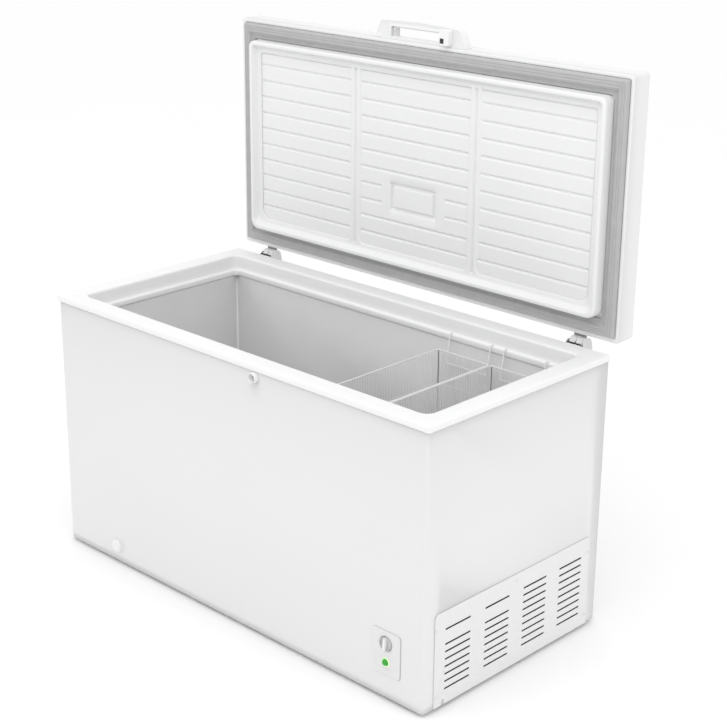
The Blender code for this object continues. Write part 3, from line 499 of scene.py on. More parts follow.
def block(low, high, radius=0.0, axes="XYZ", segments=3, bm=None):
    """Adds a box, with its edges along some axes rounded, to a bmesh."""
    target = bm or bmesh.new()
    part = bmesh.new()
    low, high = Vector(low), Vector(high)
    size = high - low
    placed = Matrix.Translation((low + high) / 2) @ Matrix.Diagonal((*size, 1))
    bmesh.ops.create_cube(part, size=1, matrix=placed)
    if radius:
        round_edges(part, [e for axis in axes for e in edges_along(part, axis)], radius, segments)
    return merge(target, part)


def merge(target, part):
    """Adds one bmesh to another, and frees the first."""
    mesh = bpy.data.meshes.new("merge")
    bmesh.ops.recalc_face_normals(part, faces=part.faces)
    part.to_mesh(mesh)
    part.free()
    target.from_mesh(mesh)
    bpy.data.meshes.remove(mesh)
    return target


def rounded_rectangle(low_x, high_x, half_y, front_radius, back_radius, steps):
    """(x, y) points round a rectangle whose front and back corners differ in radius."""
    points = []
    for sign_x, sign_y, first in ((1, 1, 0), (-1, 1, 90), (-1, -1, 180), (1, -1, 270)):
        radius = max(back_radius if sign_y > 0 else front_radius, EDGE)
        middle_x = (high_x if sign_x > 0 else low_x) - sign_x * radius
        middle_y = sign_y * (half_y - radius)
        for step in range(steps + 1):
            angle = math.radians(first + 90 * step / steps)
            points.append((middle_x + radius * math.cos(angle), middle_y + radius * math.sin(angle)))
    return points


def ring(bm, half_x, half_y, front_radius, back_radius, z, steps):
    """A closed loop of edges round a rounded rectangle at a height."""
    outline = rounded_rectangle(-half_x, half_x, half_y, front_radius, back_radius, steps)
    verts = [bm.verts.new((x, y, z)) for x, y in outline]
    return [bm.edges.new(pair) for pair in zip(verts, verts[1:] + verts[:1])]


def loft(bm, rings):
    """Bridges each ring to the next, drawn well apart meanwhile so that flat steps pair up."""
    heights = {}
    for level, edges in enumerate(rings):
        for vert in {v for edge in edges for v in edge.verts} - heights.keys():
            heights[vert] = vert.co.z
            vert.co.z = level
    for before, after in zip(rings, rings[1:]):
        bmesh.ops.bridge_loops(bm, edges=before + after)
    for vert, height in heights.items():
        vert.co.z = height
    return bm


def turned(profile, centre, axis="Z", steps=48, bm=None):
    """Spins a profile of (radius, height) round an axis through a centre."""
    target = bm or bmesh.new()
    part = bmesh.new()
    verts = [part.verts.new((radius, 0, height)) for radius, height in profile]
    edges = [part.edges.new(pair) for pair in zip(verts, verts[1:])]
    bmesh.ops.spin(part, geom=verts + edges, cent=(0, 0, 0), axis=(0, 0, 1), dvec=(0, 0, 0),
                   angle=2 * math.pi, steps=steps, use_merge=True)
    bmesh.ops.remove_doubles(part, verts=part.verts, dist=1e-6)
    turn = {"Z": Matrix.Identity(4), "Y": Matrix.Rotation(math.pi / 2, 4, "X"),
            "X": Matrix.Rotation(math.pi / 2, 4, "Y")}[axis]
    bmesh.ops.transform(part, matrix=Matrix.Translation(centre) @ turn, verts=part.verts)
    return merge(target, part)


def outline_loop(bm, points, corner=0.0, segments=4):
    """Adds a closed loop of edges through points in a plane, with its corners rounded."""
    verts = [bm.verts.new(point) for point in points]
    for pair in zip(verts, verts[1:] + verts[:1]):
        bm.edges.new(pair)
    if corner:
        round_corners(bm, verts, corner, segments)


def push_faces(bm, faces, push):
    """Gives faces depth by pushing a copy of them away."""
    grown = bmesh.ops.extrude_face_region(bm, geom=faces, use_keep_orig=True)["geom"]
    verts = [part for part in grown if isinstance(part, bmesh.types.BMVert)]
    bmesh.ops.translate(bm, verts=verts, vec=push)


def fill_and_push(bm, push):
    """Fills the loops of edges in a plane with faces, and gives them depth."""
    bmesh.ops.triangle_fill(bm, use_beauty=True, use_dissolve=False, edges=bm.edges[:])
    push_faces(bm, bm.faces[:], push)


def plate(outline, holes, push, corner=0.0, hole_corner=0.0, segments=4):
    """A flat plate from an outline and holes, given depth by a push."""
    bm = bmesh.new()
    outline_loop(bm, outline, corner, segments)
    for hole in holes:
        outline_loop(bm, hole, hole_corner if len(hole) == 4 else 0.0, segments)
    fill_and_push(bm, push)
    return bm


def rectangle(left, right, first, last, plane, at):
    """The four corners of a rectangle in the XY, XZ or YZ plane."""
    corners = ((left, first), (right, first), (right, last), (left, last))
    if plane == "XY":
        return [(u, v, at) for u, v in corners]
    if plane == "XZ":
        return [(u, at, v) for u, v in corners]
    return [(at, u, v) for u, v in corners]


def circle_points(centre, radius, count=32):
    """Points round an upright circle that faces front."""
    x, y, z = centre
    angles = [2 * math.pi * step / count for step in range(count)]
    return [(x + radius * math.cos(angle), y, z + radius * math.sin(angle)) for angle in angles]


def bend(corners, radius, steps=4):
    """A path through corners, each inner one replaced by an arc."""
    corners = [Vector(corner) for corner in corners]
    path = [corners[0]]
    for before, corner, after in zip(corners, corners[1:], corners[2:]):
        back, ahead = (before - corner).normalized(), (after - corner).normalized()
        half = back.angle(ahead) / 2
        reach = radius / math.tan(half)
        centre = corner + (back + ahead).normalized() * radius / math.sin(half)
        start = (corner + back * reach - centre).normalized()
        end = (corner + ahead * reach - centre).normalized()
        path += [centre + start.slerp(end, step / steps) * radius for step in range(steps + 1)]
    path.append(corners[-1])
    return path


def add_wires(name, runs, finish, body, replaces=(), sides=2):
    """Several wires as one mesh: each run is (points, radius, closed)."""
    bm = bmesh.new()
    for points, radius, closed in runs:
        curve = bpy.data.curves.new("wire", "CURVE")
        curve.dimensions = "3D"
        curve.bevel_depth = radius
        curve.bevel_resolution = sides
        curve.use_fill_caps = not closed
        spline = curve.splines.new("POLY")
        spline.points.add(len(points) - 1)
        for target, point in zip(spline.points, points):
            target.co = (*point, 1)
        spline.use_cyclic_u = closed
        holder = bpy.data.objects.new("wire", curve)
        mesh = bpy.data.meshes.new_from_object(holder)
        bm.from_mesh(mesh)
        bpy.data.objects.remove(holder)
        bpy.data.curves.remove(curve)
        bpy.data.meshes.remove(mesh)
    return add_piece(name, bm, finish, body, ON_CABINET, replaces, sharp=60)


def near(values, step, reach):
    """Grid lines at and round each value."""
    count = round(reach / step)
    return [value + step * index for value in values for index in range(-count, count + 1)]


# ---- cabinet -----------------------------------------------------------------------------------


def build_cabinet_wrap():
    """Front and sides in one sheet, with a window behind the louvred cover."""
    window_y, window_low, window_high = 0.285, 0.022, 0.232
    bm = block((-HALF_W, -HALF_D, 0), (HALF_W, HALF_D - SHEET - GAP, CABINET_H))
    fronts = [e for e in edges_along(bm, "Z") if e.verts[0].co.y < 0]
    round_edges(bm, fronts, sizes().corner_radius, sizes().smoothness)
    across, up = Vector((0, 1, 0)), Vector((0, 0, 1))
    for normal, value in ((across, -window_y), (across, window_y), (up, window_low), (up, window_high)):
        geom = bm.verts[:] + bm.edges[:] + bm.faces[:]
        bmesh.ops.bisect_plane(bm, geom=geom, plane_co=normal * value, plane_no=normal)
    gone = []
    for face in bm.faces:
        centre, normal = face.calc_center_median(), face.normal
        on_right = centre.x > HALF_W - 1e-4
        in_window = on_right and abs(centre.y) < window_y and window_low < centre.z < window_high
        if in_window or abs(normal.z) > 0.9 or normal.y > 0.9:
            gone.append(face)
    bmesh.ops.delete(bm, geom=gone, context="FACES")
    add_piece("cabinet_wrap", bm, "enamel", "cabinet", replaces=["outer_shell"],
              thickness=SHEET, sharp=40, recalc=False)


def build_rear():
    """Rear sheet with pressed ribs, vents and screws."""
    vents, vent_first, vent_pitch, vent_height, vent_left, vent_right = 5, 0.070, 0.030, 0.008, 0.47, 0.63
    holes = []
    for row in range(vents):
        z = vent_first + row * vent_pitch
        holes.append(rectangle(vent_left, vent_right, z, z + vent_height, "XZ", HALF_D))
    holes.append(circle_points((0.44, HALF_D, 0.050), 0.0088))
    outline = rectangle(-HALF_W, HALF_W, 0.0, CABINET_H, "XZ", HALF_D)
    bm = plate(outline, holes, (0, -SHEET, 0), hole_corner=0.0034)
    add_piece("rear_sheet", bm, "enamel", "cabinet", replaces=["rear_panel"], sharp=30)

    rib_half_w, rib_half_h, rib_out = 0.50, 0.009, 0.0022
    ribs = bmesh.new()
    for z in (0.30, 0.42, 0.54):
        block((-rib_half_w, HALF_D - 0.0008, z - rib_half_h), (rib_half_w, HALF_D + rib_out, z + rib_half_h),
              0.0028,
              bm=ribs)
    add_piece("rear_ribs", ribs, "enamel", "cabinet")

    heads = bmesh.new()
    head = ((0, -0.0020), (0.0022, -0.0018), (0.0038, -0.0008), (0.0040, 0.0))
    for x in (-0.700, -0.350, 0.0, 0.350, 0.700):
        for z in (0.014, 0.736 if abs(x) < 0.5 else 0.560):
            turned(head, (x, HALF_D, z), "Y", 16, heads)
    add_piece("rear_screws", heads, "zinc", "cabinet")


COLLAR_LIP, OPENING_HALF_W, LEDGE_HALF_W = 0.004, 0.660, 0.648
OPENING_CUT = 0.365


def collar_profile():
    """(half width, corner radius, height) round the collar's section, from its outer lower edge."""
    top, low = COLLAR_TOP, COLLAR_LOW
    outer, opening, ledge = HALF_W + COLLAR_LIP, OPENING_HALF_W, LEDGE_HALF_W
    corner = sizes().collar_corner
    return [
        (outer - 0.0012, 0.0050, CABINET_H + GAP), (outer - 0.0002, 0.0058, CABINET_H + 0.0014),
        (outer, 0.0060, CABINET_H + 0.0030), (outer, 0.0060, top - 0.0034),
        (outer - 0.0004, 0.0058, top - 0.0018),
        (outer - 0.0014, 0.0052, top - 0.0006), (outer - 0.0030, 0.0045, top), (outer - 0.0060, 0.0045, top),
        (opening + 0.0062, corner + 0.006, top), (opening + 0.0036, corner + 0.004, top - 0.0006),
        (opening + 0.0016, corner + 0.002, top - 0.0020), (opening + 0.0005, corner + 0.001, top - 0.0042),
        (opening, corner, top - 0.0075), (opening - 0.0014, corner - 0.001, top - 0.0250),
        (opening - 0.0026, corner - 0.002, 0.7290), (opening - 0.0036, corner - 0.003, 0.7262),
        (opening - 0.0056, corner - 0.004, 0.7248), (ledge + 0.0040, corner - 0.005, 0.7246),
        (ledge + 0.0018, corner - 0.006, 0.7238), (ledge + 0.0005, corner - 0.006, 0.7222),
        (ledge, corner - 0.006, 0.7200), (ledge + 0.0002, corner - 0.006, low + 0.0040),
        (ledge + 0.0010, corner - 0.005, low + 0.0010), (ledge + 0.0024, corner - 0.004, low),
        (opening + 0.0006, corner + 0.001, low), (opening + 0.0020, corner + 0.002, low + 0.0014),
        (opening + 0.0022, corner + 0.002, CABINET_H - 0.001),
        (opening + 0.0022, corner + 0.002, CABINET_H + GAP),
    ]


def build_collar():
    """Top flange, skirt and basket ledge as one moulding."""
    bm = bmesh.new()
    rings = []
    for half_x, radius, z in collar_profile():
        on_flange = half_x >= HALF_W - 0.02
        half_y = half_x - HALF_W + HALF_D if on_flange else half_x - OPENING_CUT
        rings.append(ring(bm, half_x, half_y, radius, radius, z, sizes().smoothness))
    loft(bm, rings + rings[:1])
    sides = ["collar_front", "collar_back", "collar_left", "collar_right"]
    add_piece("collar", bm, "moulding", "cabinet", replaces=sides, sharp=50)


DRAIN_X, DRAIN_Z = -0.4838, 0.0478


def build_tub():
    """Stepped tub with rounded corners and floor."""
    half_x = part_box("liner_right")[1][0] - SHEET
    half_y = (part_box("liner_back")[1][1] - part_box("liner_front")[0][1]) / 2 - SHEET
    floor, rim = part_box("liner_floor")[1][2] - BASE_Z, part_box("liner_left")[1][2] - BASE_Z
    step_low, step_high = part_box("liner_step")
    step_x, step_top = step_low[0], step_high[2] - BASE_Z
    bm = bmesh.new()
    side = [(-half_x, floor), (step_x, floor), (step_x, step_top), (half_x, step_top), (half_x, rim),
            (-half_x, rim)]
    face = bm.faces.new([bm.verts.new((x, -half_y, z)) for x, z in side])
    push_faces(bm, [face], (0, 2 * half_y, 0))
    bmesh.ops.recalc_face_normals(bm, faces=bm.faces)
    soft = [e for e in bm.edges if not all(v.co.z > rim - EDGE for v in e.verts)]
    round_edges(bm, soft, 0.0065, 5)
    mouth = [f for f in bm.faces if f.calc_center_median().z > rim - EDGE]
    bmesh.ops.delete(bm, geom=mouth, context="FACES")
    bmesh.ops.reverse_faces(bm, faces=bm.faces)
    add_piece("tub", bm, "tub", "cabinet", thickness=SHEET, sharp=40, recalc=False,
              replaces=["liner_front", "liner_back", "liner_left", "liner_right", "liner_floor",
                        "liner_step"])
    drain = turned(((0, -0.0120), (0.0098, -0.0120), (0.0102, -0.0010), (0.0160, 0.0), (0.0165, 0.0008),
                    (0.0150, 0.0014), (0.0118, 0.0010), (0.0112, 0.0)), (DRAIN_X, -0.225, floor), "Z", 40)
    add_piece("tub_drain_ring", drain, "moulding", "cabinet")


LOUVRE_COLUMNS = (-0.2255, -0.0735, 0.0795, 0.2300)
LOUVRE_ROWS, LOUVRE_TOP, LOUVRE_PITCH = 9, 0.2104, 0.0208
LOUVRE_HALF_W, LOUVRE_HALF_H = 0.0480, 0.0026


def build_louvred_cover():
    """Side cover with its four columns of slots, the front two each a slot short, and a foot slot."""
    low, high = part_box("side_grille")
    x, out = low[0], high[0]
    half, top, bottom = high[1] - CENTRE_Y, high[2] - BASE_Z, low[2] - BASE_Z
    outline = [(-half, bottom), (-0.2830, bottom), (-0.2830, 0.0130), (-0.2805, 0.0162), (-0.2765, 0.0162),
               (-0.2735, 0.0125), (-0.2735, bottom), (half, bottom), (half, top), (-half, top)]
    bm = bmesh.new()
    outline_loop(bm, [(x, y, z) for y, z in outline])
    round_corners(bm, [v for v in bm.verts if v.co.z > top - EDGE], 0.012, 6)
    for column, y in enumerate(LOUVRE_COLUMNS):
        for row in range(LOUVRE_ROWS):
            if row == 1 and column < 2:
                continue
            z = LOUVRE_TOP - row * LOUVRE_PITCH
            slot = rectangle(y - LOUVRE_HALF_W, y + LOUVRE_HALF_W, z - LOUVRE_HALF_H, z + LOUVRE_HALF_H, "YZ",
                             x)
            outline_loop(bm, slot, 0.0022, 3)
    fill_and_push(bm, (out - x, 0, 0))
    add_piece("louvred_cover", bm, "enamel", "cabinet", replaces=["side_grille"],
              bevel=0.0005)
    # Black sheet behind the slots: painted shade of the compartment seen through them.
    shade_backing = block((HALF_W - 0.0062, -0.296, 0.0035), (HALF_W - 0.0042, 0.284, 0.2310), 0.0010, segments=2)
    add_piece("slot_shade_backing", shade_backing, "black_plastic", "cabinet")
    face = out + GAP
    places = ((-0.3065, 0.218), (0.0015, 0.243), (0.3050, 0.218), (-0.3065, 0.032), (0.3050, 0.032))
    for number, (y, z) in enumerate(places, 1):
        head = turned(((0, 0.0003), (0.0009, 0.0003), (0.0011, 0.0011), (0.0024, 0.0010), (0.0032, 0.0004),
                       (0.0034, 0.0), (0.0018, 0.0), (0.0016, -0.0070), (0, -0.0070)), (face, y, z), "X", 24)
        block((face + 0.0008, y - 0.0020, z - 0.0003), (face + 0.00125, y + 0.0020, z + 0.0003), bm=head)
        add_piece(f"cover_screw_{number}", head, "zinc", "cabinet",
                  replaces=[f"grille_screw_{number}"])


PANEL_X, PANEL_Z, KNOB_Z, LAMP_Z = 0.590, 0.1255, 0.152, 0.100


def build_control_panel():
    """Bezel with a round well for the knob and a shallow field round the lamp."""
    front = -HALF_D
    half_w, half_h, field_half_w, field_half_h = 0.0475, 0.0615, 0.0385, 0.0185
    rim, face = front - GAP, front - GAP - 0.0022
    bm = bmesh.new()
    outline_loop(bm, rectangle(PANEL_X - half_w, PANEL_X + half_w, PANEL_Z - half_h, PANEL_Z + half_h, "XZ",
                               face),
                 0.010, 6)
    outline_loop(bm, rectangle(PANEL_X - field_half_w, PANEL_X + field_half_w, LAMP_Z - field_half_h,
                               LAMP_Z + field_half_h, "XZ", face), 0.0165, 8)
    outline_loop(bm, circle_points((PANEL_X, face, KNOB_Z), 0.0207, 48))
    fill_and_push(bm, (0, rim - face, 0))
    add_piece("control_bezel", bm, "bezel", "cabinet", replaces=["control_panel"],
              bevel=0.0007)
    # A grey plate under the bezel: a thin outline round it, its wider right and bottom edges painted shadow
    # of the bezel.
    shadow_plate = block((PANEL_X - half_w - 0.0005, front - SHEET, PANEL_Z - half_h - 0.0015),
                 (PANEL_X + half_w + 0.0015, front - GAP, PANEL_Z + half_h + 0.0005), 0.0108, "Y", 6)
    add_piece("control_bezel_shadow_plate", shadow_plate, "grey_plastic", "cabinet")
    tray = block((PANEL_X - field_half_w, front - 0.0017, LAMP_Z - field_half_h - 0.0005),
                 (PANEL_X + field_half_w, front + 0.006, LAMP_Z + field_half_h + 0.0005))
    add_piece("lamp_field", tray, "bezel", "cabinet", bevel=0.0003)
    well = turned(((0, 0.0008), (0.0200, 0.0008), (0.0209, 0.0014), (0.0209, 0.0028), (0.0230, 0.0028),
                   (0.0230, -0.0040), (0, -0.0040)), (PANEL_X, front - 0.0002, KNOB_Z), "Y", 48)
    add_piece("knob_well", well, "pale_plastic", "cabinet")
    build_lamp((PANEL_X, front, LAMP_Z))


def build_lamp(centre):
    """Domed green lens in its glowing collar."""
    collar = turned(((0.0094, -0.0030), (0.0098, 0.0030), (0.0104, 0.0038), (0.0114, 0.0036),
                     (0.0118, 0.0018),
                     (0.0118, -0.0030), (0.0094, -0.0030)), centre, "Y", 40)
    add_piece("lamp_ring", collar, "lit_ring", "cabinet")
    radius, height, foot = 0.0097, 0.0108, 0.0008
    dome = [(radius * math.cos(math.radians(angle)), foot + height * math.sin(math.radians(angle)))
            for angle in range(90, -1, -10)]
    lens = turned((*dome, (radius, -0.0060), (0, -0.0060)), centre, "Y", 40)
    add_piece("lamp_lens", lens, "lens", "cabinet", replaces=["power_lamp"])


def build_knob():
    """Thermostat knob: a shallow cup crossed by a tapered grip, in a ring of growing dots."""
    front = -HALF_D
    centre = (PANEL_X, front, KNOB_Z)
    # The cup is greyer than the white grip: painted shade in the pockets on either side of the grip.
    cup = turned(((0, 0.0016), (0.0148, 0.0016), (0.0160, 0.0026), (0.0166, 0.0070), (0.0170, 0.0082),
                  (0.0176, 0.0084), (0.0181, 0.0076), (0.0183, 0.0060), (0.0184, 0.0012), (0.0180, 0.0009),
                  (0, 0.0009)), centre, "Y", 64)
    add_piece("knob", cup, "knob_shade_grey", "thermostat_knob", replaces=["thermostat_knob"])
    grip = block((-0.0050, -0.0118, -0.0168), (0.0050, -0.0014, 0.0168))
    for vert in grip.verts:
        if vert.co.y < -0.01:
            vert.co.x *= 0.66
            vert.co.z *= 0.97
    round_edges(grip, grip.edges[:], 0.0012, 3)
    turn = Matrix.Translation(centre) @ Matrix.Rotation(math.radians(4), 4, "Y")
    bmesh.ops.transform(grip, matrix=turn, verts=grip.verts)
    block((PANEL_X - 0.0007, front - 0.0121, KNOB_Z + 0.0060),
          (PANEL_X + 0.0007, front - 0.0110, KNOB_Z + 0.0140),
          bm=grip)
    add_piece("knob_grip", grip, "moulding", "thermostat_knob")
    marks = bmesh.new()
    reach = 0.0262
    for step in range(7):
        angle = math.radians(-135 + 45 * step)
        x, z = PANEL_X + reach * math.sin(angle), KNOB_Z + reach * math.cos(angle)
        size = 0.00045 + 0.00012 * step
        turned(((0, 0.00028), (size, 0.00022), (size + 0.0001, 0.0)), (x, front - 0.0025, z), "Y", 14, marks)
    add_piece("knob_marks", marks, "grey_plastic", "cabinet")


def build_lock():
    """Round bezel, turning barrel, and a dark keyhole mark that paints the shade in the key slot."""
    x, front, z = 0.120, -HALF_D, 0.733
    bezel = turned(((0.0086, 0.0030), (0.0104, 0.0032), (0.0106, 0.0036), (0.0112, 0.0108), (0.0116, 0.0122),
                    (0.0124, 0.0126), (0.0132, 0.0120), (0.0137, 0.0100), (0.0141, 0.0030), (0.0145, 0.0016),
                    (0.0145, 0.0004), (0.0110, 0.0004), (0.0110, -0.0180), (0.0086, -0.0180),
                    (0.0086, 0.0030)),
                   (x, front, z), "Y", 56)
    add_piece("lock_bezel", bezel, "moulding", "cabinet", replaces=["lock_housing"],
              sharp=50)
    plug = turned(((0, 0.0056), (0.0052, 0.0056), (0.0058, 0.0052), (0.0060, 0.0042), (0.0072, 0.0042),
                   (0.0074, 0.0058), (0.0078, 0.0062), (0.0082, 0.0056), (0.0082, -0.0100), (0, -0.0100)),
                  (x, front, z), "Y", 48)
    add_piece("lock_barrel", plug, "zinc", "lock_cylinder", replaces=["lock_cylinder"])
    # Dark keyhole mark: painted shade of the key slot.
    slot = turned(((0, 0.0003), (0.0019, 0.0003), (0.0020, -0.0006)), (x, front - 0.0056, z + 0.0020), "Y",
                  20)
    block((x - 0.0011, front - 0.0061, z - 0.0040), (x + 0.0011, front - 0.0050, z + 0.0020), bm=slot)
    add_piece("lock_keyhole_shade", slot, "dark_steel", "lock_cylinder")


def build_drain():
    """Flange on the shell, the run through the foam, and a ribbed turning dial on the spout."""
    front = -HALF_D
    centre = (DRAIN_X, front, DRAIN_Z)
    flange = turned(((0.0084, -0.0150), (0.0084, 0.0020), (0.0190, 0.0022), (0.0220, 0.0018),
                     (0.0229, 0.0010),
                     (0.0230, 0.0003), (0.0100, 0.0003), (0.0100, -0.0150), (0.0084, -0.0150)), centre, "Y",
                     64)
    add_piece("drain_flange", flange, "moulding", "cabinet", replaces=["drain_outlet"],
              sharp=50)
    run = turned(((0.0085, 0.0), (0.0085, -0.1180), (0.0098, -0.1180), (0.0098, 0.0), (0.0085, 0.0)),
                 (DRAIN_X, front + 0.012, DRAIN_Z), "Y", 32)
    add_piece("drain_run", run, "moulding", "cabinet")
    spout = turned(((0.0060, 0.0048), (0.0079, 0.0050), (0.0080, 0.0040), (0.0080, -0.0450),
                    (0.0060, -0.0450),
                    (0.0060, 0.0048)), centre, "Y", 40)
    add_piece("spout", spout, "moulding", "drain_spout", replaces=["drain_spout"])
    dial = turned(((0.0083, 0.0028), (0.0083, 0.0086), (0, 0.0086), (0, 0.0104), (0.0115, 0.0104),
                   (0.0126, 0.0108),
                   (0.0138, 0.0108), (0.0146, 0.0100), (0.0152, 0.0092), (0.0180, 0.0086), (0.0193, 0.0074),
                   (0.0197, 0.0058), (0.0197, 0.0030), (0.0190, 0.0027), (0.0083, 0.0028)), centre, "Y", 64)
    ribs = 24
    for step in range(ribs):
        rib = block((0.0186, -0.0072, -0.0007), (0.0200, -0.0032, 0.0007), 0.0004, segments=2)
        turn = Matrix.Translation(centre) @ Matrix.Rotation(2 * math.pi * step / ribs, 4, "Y")
        bmesh.ops.transform(rib, matrix=turn, verts=rib.verts)
        merge(dial, rib)
    add_piece("dial", dial, "moulding", "drain_dial", replaces=["drain_dial"])


def build_feet():
    """Four turned pads."""
    for name in ("front_left", "front_right", "rear_left", "rear_right"):
        low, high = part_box(f"foot_{name}")
        x, y = (low[0] + high[0]) / 2, (low[1] + high[1]) / 2 - CENTRE_Y
        radius, top, bottom = (high[0] - low[0]) / 2, high[2] - BASE_Z, low[2] - BASE_Z
        foot = turned(((0, bottom), (radius - 0.0040, bottom), (radius - 0.0012, bottom + 0.0008),
                       (radius, bottom + 0.0024), (radius, bottom + 0.0050),
                       (radius - 0.0016, bottom + 0.0064),
                       (radius - 0.0060, bottom + 0.0070), (radius - 0.0068, top), (0, top)), (x, y, 0), "Z",
                       48)
        add_piece(f"foot_pad_{name}", foot, "grey_plastic", "cabinet", replaces=[f"foot_{name}"])


# ---- lid ---------------------------------------------------------------------------------------


def lid_ring(bm, inset, z, front_radius, back_radius):
    """A ring inside the lid's outline."""
    half_x, half_y = LID_HALF_W - inset, LID_HALF_D - inset
    return ring(bm, half_x, half_y, front_radius, back_radius, z, sizes().smoothness)


def build_lid_shell():
    """The lid's steel skin: top and sides."""
    bm = block((-LID_HALF_W, -LID_HALF_D, LID_UNDER), (LID_HALF_W, LID_HALF_D, LID_TOP))
    segments = sizes().smoothness
    round_edges(bm, edges_along(bm, "Z"), 0.0085, segments)
    rim = [e for e in bm.edges if all(v.co.z > LID_TOP - EDGE for v in e.verts)]
    round_edges(bm, rim, sizes().lid_rounding, segments)
    under = [f for f in bm.faces if f.calc_center_median().z < LID_UNDER + EDGE]
    bmesh.ops.delete(bm, geom=under, context="FACES")
    add_piece("lid_skin", bm, "enamel", "lid", ON_LID, ["lid_shell"], thickness=SHEET,
              sharp=40,
              recalc=False)


def build_lid_liner():
    """Flange, raised rim and the sides of the recess, as one formed sheet."""
    under = LID_UNDER
    profile = [
        (0.0003, under + 0.0004, 0.0082, 0.0082), (0.0016, under - 0.0002, 0.0070, 0.0070),
        (0.0106, under - 0.0002, 0.006, 0.006), (0.0116, under + 0.0004, 0.005, 0.005),
        (0.0120, under + 0.0042, 0.005, 0.005), (0.0148, under + 0.0042, 0.004, 0.004),
        (0.0152, under + 0.0002, 0.004, 0.004),
        (0.0400, under + 0.0002, 0.004, 0.004), (0.0412, under + 0.0014, 0.004, 0.004),
        (0.0424, under + 0.0048, 0.006, 0.006), (0.0560, under + 0.0048, 0.018, 0.026),
        (0.0575, under + 0.0036, 0.019, 0.027), (0.0583, under + 0.0010, 0.020, 0.028),
        (0.0590, under - 0.0220, 0.020, 0.028), (0.0598, under - 0.0302, 0.020, 0.028),
        (0.0606, under - 0.0325, 0.019, 0.027), (0.0622, under - 0.0337, 0.018, 0.026),
        (0.0645, under - 0.0340, 0.017, 0.025), (0.0698, under - 0.0340, 0.014, 0.024),
        (0.0714, under - 0.0334, 0.013, 0.023), (0.0724, under - 0.0320, 0.012, 0.023),
        (0.0732, under - 0.0298, 0.012, 0.023), (0.0800, under - 0.0190, 0.011, 0.025),
        (0.0812, under - 0.0174, 0.011, 0.026), (0.0832, under - 0.0166, 0.010, 0.027),
        (0.0905, under - 0.0160, 0.010, 0.028), (0.0960, under - 0.0150, 0.010, 0.030),
    ]
    bm = bmesh.new()
    loft(bm, [lid_ring(bm, inset, z, front, back) for inset, z, front, back in profile])
    bmesh.ops.recalc_face_normals(bm, faces=bm.faces)
    facing_up = sum(f.normal.z * f.calc_area() for f in bm.faces) > 0
    if facing_up:
        bmesh.ops.reverse_faces(bm, faces=bm.faces)
    add_piece("lid_inner_rim", bm, "formed", "lid", ON_LID, ["lid_liner"], thickness=0.0014,
              sharp=60, recalc=False)


# The lid's inner panel, from its middle: two ribs, three grooved fields and the plain frame.
RIB_X, SIDE_FIELD, MIDDLE_FIELD = 0.2245, (0.2400, 0.6250), 0.2070
FIELD_Y, FIELD_DEPTH = 0.2612, 0.0032
LABEL_X, LABEL_Y = 0.0798, (0.0592, 0.1291)
GROOVES, GROOVE_FIRST, GROOVE_HALF = 10, -0.2187, 0.0052
SHORT_GROOVES, SHORT_GROOVE_X = (6, 7), 0.119
PANEL_HALF_X, PANEL_HALF_Y, PANEL_SET = 0.632, 0.267, 0.0163


def smooth_step(value):
    """Eases from 0 to 1."""
    value = min(max(value, 0.0), 1.0)
    return value * value * (3 - 2 * value)


def inside_field(x, y):
    """How far inside a panel field a point lies, negative outside it."""
    out = abs(x)
    across = MIDDLE_FIELD - out if out < RIB_X else min(out - SIDE_FIELD[0], SIDE_FIELD[1] - out)
    along = FIELD_Y - abs(y)
    radius = 0.022 if y > 0 else 0.008
    if across < radius and along < radius:
        return radius - math.hypot(radius - across, radius - along)
    return min(across, along)


def panel_depth(x, y):
    """How far the recess floor is pressed back at a point: fields, grooves, ribs and the plain frame."""
    pitch, deep = sizes().groove_pitch, sizes().groove_depth
    within = inside_field(x, y)
    depth = FIELD_DEPTH * smooth_step(within / 0.0036)
    row = round((y - GROOVE_FIRST) / pitch)
    if 0 <= row < GROOVES:
        away = abs(y - GROOVE_FIRST - row * pitch)
        end = smooth_step((within - 0.0035) / 0.006)
        if row in SHORT_GROOVES and abs(x) < RIB_X:
            end *= smooth_step((abs(x) - SHORT_GROOVE_X) / 0.004)
        depth += deep * end * max(0.0, 1 - away / GROOVE_HALF) ** 0.9
    from_rib = abs(abs(x) - RIB_X)
    along = smooth_step((FIELD_Y + 0.003 - abs(y)) / 0.006)
    depth += 0.0058 * along * max(0.0, 1 - from_rib / 0.0058) ** 0.8
    middle_y, half_y = sum(LABEL_Y) / 2, (LABEL_Y[1] - LABEL_Y[0]) / 2
    from_label = max(abs(x) - LABEL_X, abs(y - middle_y) - half_y)
    depth += 0.0068 * smooth_step((0.0072 - abs(from_label)) / 0.0034)
    return depth


def grid_lines(values, reach):
    """The lines within reach, in order, without any that nearly coincide."""
    kept = []
    for value in sorted(values):
        if abs(value) <= reach and (not kept or value - kept[-1] > 0.00045):
            kept.append(value)
    return kept


